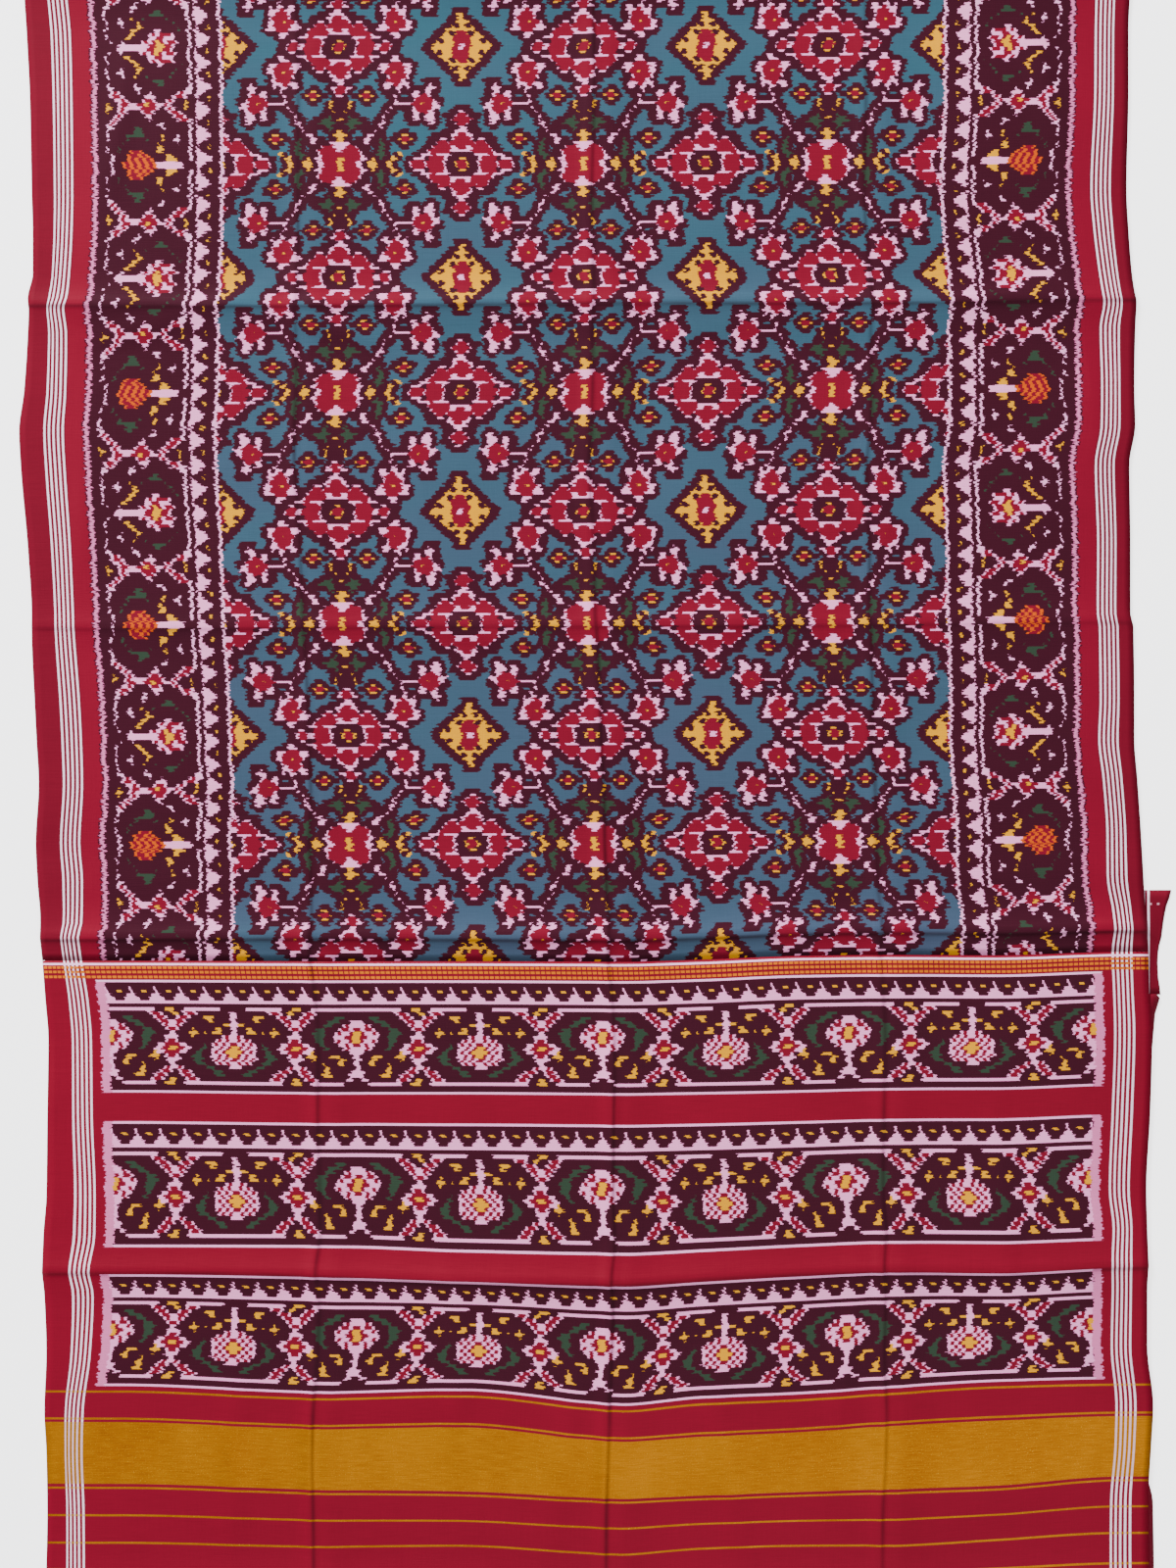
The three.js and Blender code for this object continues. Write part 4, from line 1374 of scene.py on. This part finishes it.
class FieldSilk(SilkMaterial):
    """The body: red selvedges, dark flower borders and the teal ikat field."""

    def build(self) -> bpy.types.Material:
        """Return the finished material."""
        graph = self.graph
        weft = graph.use(self.groups.weft, Down=self.down).outputs
        across = graph.add(self.across, weft["Shift"])
        edge = graph.add(self.edge, weft["Shift"])
        ink = self.ink(across, edge, weft["Bleed"])
        colour = graph.use(self.groups.palette, Ink=ink, Drift=self.drift()).outputs["Colour"]
        red = graph.mix(graph.math("GREATER_THAN", self.edge, SIDE_RED_FROM), SELVEDGE_RED, FIELD_SIDE_RED)
        red = graph.mix(self.stripe(), red, STRIPE_WHITE)
        colour = graph.mix(graph.math("LESS_THAN", edge, FEATHER_FROM), colour, red)
        colour = graph.mix(self.feather(edge), colour, FEATHER_PINK)
        # Painted shade darkens the colour along the crease lines
        return self.finished(self.painted_crease_shade(colour))

    def drift(self) -> bpy.types.NodeSocket:
        """Return how far the ground's colour has drifted, more so towards the body's end."""
        graph = self.graph
        cloud = graph.grain((self.across, self.down), DRIFT_GRAIN)
        low = graph.math("MULTIPLY_ADD", graph.math("DIVIDE", self.down, BODY_END), DRIFT_RISE, DRIFT_START)
        return graph.add(graph.times(cloud, DRIFT_STRENGTH), low)

    def ink(self, across: object, edge: object, bleed: object) -> bpy.types.NodeSocket:
        """Return the ink of the border, of the row of points or of the field, each in its own zone."""
        graph = self.graph
        groups = self.groups
        field_ink = graph.use(
            groups.field,
            Column=self.mirrored(across, FIELD_CENTRE, FIELD_REACH, FIELD_COLUMNS),
            Row=self.mirrored(self.repeat, HALF_REPEAT, HALF_REPEAT, IKAT_CELLS),
            Wide=bleed,
        ).outputs["Ink"]
        border_column = graph.math("DIVIDE", graph.less(edge, BORDER_FROM), CELL)
        border_row = self.mirrored(self.repeat, 0.0, HALF_REPEAT, IKAT_CELLS)
        border_ink = self.chart_ink(groups.border, border_column, border_row, bleed)
        points_column = graph.math("DIVIDE", graph.less(edge, POINTS_FROM), CELL)
        points_row = self.mirrored(self.repeat, 0.0, POINT_PITCH * 2, POINT_ROWS)
        points_ink = self.chart_ink(groups.points, points_column, points_row, bleed)
        sides = graph.add(
            graph.times(border_ink, graph.math("LESS_THAN", edge, POINTS_FROM)),
            graph.times(points_ink, graph.within(edge, POINTS_FROM, FIELD_FROM)),
        )
        return graph.add(sides, graph.times(field_ink, graph.math("GREATER_THAN", edge, FIELD_FROM)))

    def feather(self, edge: bpy.types.NodeSocket) -> bpy.types.NodeSocket:
        """Return the mask of the pale line between selvedge and border, frayed pick by pick."""
        graph = self.graph
        left, right = [
            graph.noise(graph.vector(lane, graph.times(self.down, rate)), 1.0)
            for lane, rate in zip(FRAY_LANES, FRAY_RATES)
        ]
        start = graph.math("MULTIPLY_ADD", left, FRAY, FEATHER_FROM - FRAY * FRAY_OUTSIDE)
        end = graph.math("MULTIPLY_ADD", right, -FRAY, FEATHER_TO + FRAY * FRAY_OUTSIDE)
        return graph.within(edge, start, end)


class PalluSilk(SilkMaterial):
    """The end piece: crimson ground, three patterned bands, gold lines and a metal-thread band."""

    def __init__(self, name: str, groups: SilkGroups, finish: SilkFinish) -> None:
        super().__init__(name, groups, finish)
        self.row = self.graph.less(self.down, PICTURE_TOP)

    def line(self, place: float, width: float) -> bpy.types.NodeSocket:
        """Return the mask of one straight weft line."""
        return self.graph.near(self.row, place, width / 2)

    def lines(self, places: Sequence[float], width: float) -> bpy.types.NodeSocket:
        """Return the mask of several straight weft lines."""
        masks = [self.line(place, width) for place in places]
        total = masks[0]
        for mask in masks[1:]:
            total = self.graph.math("MAXIMUM", total, mask)
        return total

    def band_rows(self) -> tuple[bpy.types.NodeSocket, bpy.types.NodeSocket]:
        """Return the chart row inside whichever band is here, and the mask of all bands."""
        graph = self.graph
        rows = 0.0
        inside = 0.0
        for top, foot in BANDS:
            here = graph.within(self.row, top - 1.0, foot + 1.0)
            scale = BAND_CELLS / (foot - top)
            cells = graph.math("MULTIPLY_ADD", graph.less(self.row, top), scale, BAND_CELL_FROM)
            rows = graph.math("MULTIPLY_ADD", cells, here, rows)
            inside = graph.add(here, inside)
        return rows, inside

    def band_ink(self, across: object, rows: object, bleed: object) -> bpy.types.NodeSocket:
        """Return the ink of a band: lines, teeth, lines again and the hexagons."""
        graph = self.graph
        groups = self.groups
        teeth_column = self.mirrored(across, BAND_CENTRE, BAND_REACH / TEETH_REPEATS, TEETH_COLUMNS)
        teeth_row = graph.math("DIVIDE", graph.less(rows, TEETH_ROWS[0]), TEETH_CELL)
        teeth = self.chart_ink(groups.teeth, teeth_column, teeth_row, bleed)
        hexagon_column = self.mirrored(across, BAND_CENTRE, BAND_REACH, HEXAGON_COLUMNS)
        hexagon_row = graph.math("DIVIDE", graph.less(rows, HEXAGON_ROWS[0]), HEXAGON_CELL)
        hexagons = self.chart_ink(groups.hexagons, hexagon_column, hexagon_row, bleed)
        ink = graph.times(teeth, graph.within(rows, *TEETH_ROWS))
        ink = graph.math("MULTIPLY_ADD", hexagons, graph.within(rows, *HEXAGON_ROWS), ink)
        ends = graph.math("MAXIMUM", *[graph.near(rows, place, END_LINE_HALF) for place in END_LINES])
        return graph.math("MULTIPLY_ADD", ends, DYE_ORDER.index(Dye.WHITE) * PALETTE_STEP, ink)

    def build(self) -> bpy.types.Material:
        """Return the finished material."""
        graph = self.graph
        weft = graph.use(self.groups.weft, Down=self.down).outputs
        across = graph.add(self.across, weft["Shift"])
        edge = graph.add(self.edge, weft["Shift"])
        colour = self.bands(across, edge, weft["Bleed"])
        colour = self.pale_lines(colour, edge)
        gold = graph.math("MAXIMUM", self.lines(GOLD_LINES, GOLD_WIDTH), graph.within(self.row, *ZARI))
        shown = graph.times(gold, graph.less(1.0, graph.times(self.stripe(), STRIPE_COVER)))
        colour = graph.mix(shown, colour, self.zari())
        metallic = graph.times(shown, GOLD_METAL)
        roughness = graph.math("MULTIPLY_ADD", shown, GOLD_SMOOTHER, self.finish.roughness)
        # Painted shade darkens the colour along the crease lines
        return self.finished(self.painted_crease_shade(colour), metallic, roughness)

    def bands(self, across: object, edge: object, bleed: object) -> bpy.types.NodeSocket:
        """Return the crimson ground with the patterned bands and the pale bars at their sides."""
        graph = self.graph
        rows, inside = self.band_rows()
        ink = self.band_ink(across, rows, bleed)
        band = graph.use(self.groups.palette, Ink=ink, Drift=0.0).outputs["Colour"]
        ground = graph.mix(self.stripe(), PALLU_CRIMSON, STRIPE_WHITE)
        within_bars = graph.math("GREATER_THAN", edge, BAND_BAR[1])
        colour = graph.mix(graph.times(inside, within_bars), ground, band)
        bar = graph.times(inside, graph.within(edge, *BAND_BAR))
        return graph.mix(bar, colour, FEATHER_PINK)

    def pale_lines(self, colour: object, edge: object) -> bpy.types.NodeSocket:
        """Return the colour with the dashed orange lines and both pale lines laid over it."""
        graph = self.graph
        place = graph.math("FRACT", graph.times(self.across, DASHES_A_MM))
        dashes = graph.math("GREATER_THAN", place, DASH_GAP)
        dashed = graph.times(self.lines(DASHED_LINES, DASHED_WIDTH), dashes)
        colour = graph.mix(dashed, colour, DASH_ORANGE)
        colour = graph.mix(self.line(BODY_LINE, BODY_LINE_WIDTH), colour, LINE_WHITE)
        inside_edge = graph.math("GREATER_THAN", edge, BAND_BAR[0])
        bar_line = graph.times(self.line(BAR_LINE, BAR_LINE_WIDTH), inside_edge)
        return graph.mix(bar_line, colour, LINE_WHITE)

    def zari(self) -> bpy.types.NodeSocket:
        """Return the gold of the metal thread, streaked along the weft, dulled where it is worn, with
        painted glints in random spots.
        """
        graph = self.graph
        place = (self.across, self.down)
        streak = graph.grain(place, STREAK_GRAIN)
        worn = graph.grain(place, WORN_GRAIN)
        glint = graph.grain(place, GLINT_GRAIN)
        amount = graph.add(graph.times(streak, STREAK_SHARE), graph.times(worn, WORN_SHARE))
        amount = graph.math("MULTIPLY_ADD", graph.less(amount, 0.5), GOLD_CONTRAST, GOLD_MIDDLE)
        gold = graph.mix(amount, ZARI_GOLD, ZARI_DULL)
        # Painted glints: paler gold where a fine noise runs high
        painted_glint = graph.times(graph.less(glint, GLINT_FROM), GLINT_GAIN)
        return graph.mix(painted_glint, gold, ZARI_GLINT_PAINTED)


class UnderSilk(SilkMaterial):
    """The hidden layers and the tucked inner end: plain red with the selvedge stripes."""

    def holes(self) -> bpy.types.NodeSocket:
        """Return a mask of the small pin holes left by the loom's stretcher."""
        graph = self.graph
        half_across, half_down = PIN_HOLE_HALF
        holes = [graph.near(self.across, place, half_across) for place in PIN_HOLES_ACROSS]
        return graph.times(graph.add(*holes), graph.near(self.down, PIN_HOLES_DOWN, half_down))

    def build(self) -> bpy.types.Material:
        """Return the finished material."""
        colour = self.graph.mix(self.stripe(), SELVEDGE_RED, STRIPE_WHITE)
        return self.finished(self.graph.mix(self.holes(), colour, PIN_HOLE_PALE))


# Floor, room and camera
FLOOR_ROUGHNESS = 0.85
FLOOR_GLOW = 2.6
FLOOR_HALF = 4.0
ROOM_GLOW = 0.42
LENS = 63
SENSOR = 36
CAMERA_HEIGHT = 2.8


def floor_material() -> bpy.types.Material:
    """Return the plain pale ground."""
    material = bpy.data.materials.new("floor_cloth")
    material.use_nodes = True
    shader = material.node_tree.nodes["Principled BSDF"].inputs
    shader["Base Color"].default_value = FLOOR_WHITE
    shader["Roughness"].default_value = FLOOR_ROUGHNESS
    shader["Emission Color"].default_value = FLOOR_WHITE
    shader["Emission Strength"].default_value = FLOOR_GLOW
    return material


@dataclass(frozen=True)
class SoftLight:
    """One soft area light."""

    name: str
    place: tuple[float, float, float]
    aim: tuple[float, float, float]
    size: float
    watts: float

    def build(self) -> None:
        """Add the light to the scene."""
        data = bpy.data.lights.new(self.name, "AREA")
        data.size = self.size
        data.energy = self.watts
        light = bpy.data.objects.new(self.name, data)
        light.location = self.place
        light.rotation_euler = (Vector(self.aim) - Vector(self.place)).to_track_quat("-Z", "Y").to_euler()
        bpy.context.scene.collection.objects.link(light)


PICTURE_MIDDLE = (-0.0075, -0.114, 0.0)
LIGHTS = (
    SoftLight("window", (-3.2, 5.3, 3.05), PICTURE_MIDDLE, 2.4, 1200),
    SoftLight("room", (0.9, -1.4, 3.4), PICTURE_MIDDLE, 3.6, 45),
)


def add_camera() -> None:
    """Set the camera straight above the middle of the picture."""
    data = bpy.data.cameras.new("camera")
    data.lens = LENS
    data.sensor_width = SENSOR
    camera = bpy.data.objects.new("camera", data)
    camera.location = (PICTURE_MIDDLE[0], PICTURE_MIDDLE[1], CAMERA_HEIGHT)
    bpy.context.scene.collection.objects.link(camera)
    bpy.context.scene.camera = camera


def add_world() -> None:
    """Give the room its even pale light."""
    world = bpy.data.worlds.new("room")
    world.use_nodes = True
    background = world.node_tree.nodes["Background"].inputs
    background["Color"].default_value = (1, 1, 1, 1)
    background["Strength"].default_value = ROOM_GLOW
    bpy.context.scene.world = world


def add_floor() -> bpy.types.Object:
    """Add the plain pale ground."""
    half = FLOOR_HALF
    mesh = bpy.data.meshes.new("floor")
    corners = [(-half, -half, 0), (half, -half, 0), (half, half, 0), (-half, half, 0)]
    mesh.from_pydata(corners, [], [(0, 1, 2, 3)])
    floor = bpy.data.objects.new("floor", mesh)
    bpy.context.scene.collection.objects.link(floor)
    mesh.materials.append(floor_material())
    return floor


def add_cloth() -> None:
    """Build every piece of the cloth."""
    cut = ClothCut(ClothForm())
    groups = SilkGroups()
    field_silk = FieldSilk("field_silk", groups, FIELD_FINISH).build()
    pallu_silk = PalluSilk("pallu_silk", groups, PALLU_FINISH).build()
    under_silk = UnderSilk("under_silk", groups, UNDER_FINISH).build()
    upper = ClothPiece(
        "folds_upper", "folded_layers", "under_silk",
        cut.folds_upper(), (1.13, 1.385), Held.LAID, under_silk,
    ).build()
    lower = ClothPiece(
        "folds_lower", "folded_layers", "under_silk",
        cut.folds_lower(), (1.13, 1.758), Held.FOLDED, under_silk,
    ).build()
    ClothPiece(
        "inner_end_cloth", "inner_end", "under_silk",
        cut.inner_end(), (0.055, 0.103), Held.LAID, under_silk,
    ).build()
    ClothPiece(
        "body", "body_stretch", "field_silk",
        cut.body(), (1.13, 1.49), Held.LAID, field_silk, [upper, lower],
    ).build()
    ClothPiece(
        "pallu", "pallu_stretch", "pallu_silk",
        cut.pallu(), (1.13, 0.87), Held.LAID, pallu_silk, [lower],
    ).build()


def main() -> None:
    """Build the whole scene."""
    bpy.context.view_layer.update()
    add_cloth()
    add_floor()
    add_camera()
    add_world()
    for light in LIGHTS:
        light.build()


if __name__ == "__main__":
    logging.basicConfig(level=logging.INFO)
    main()
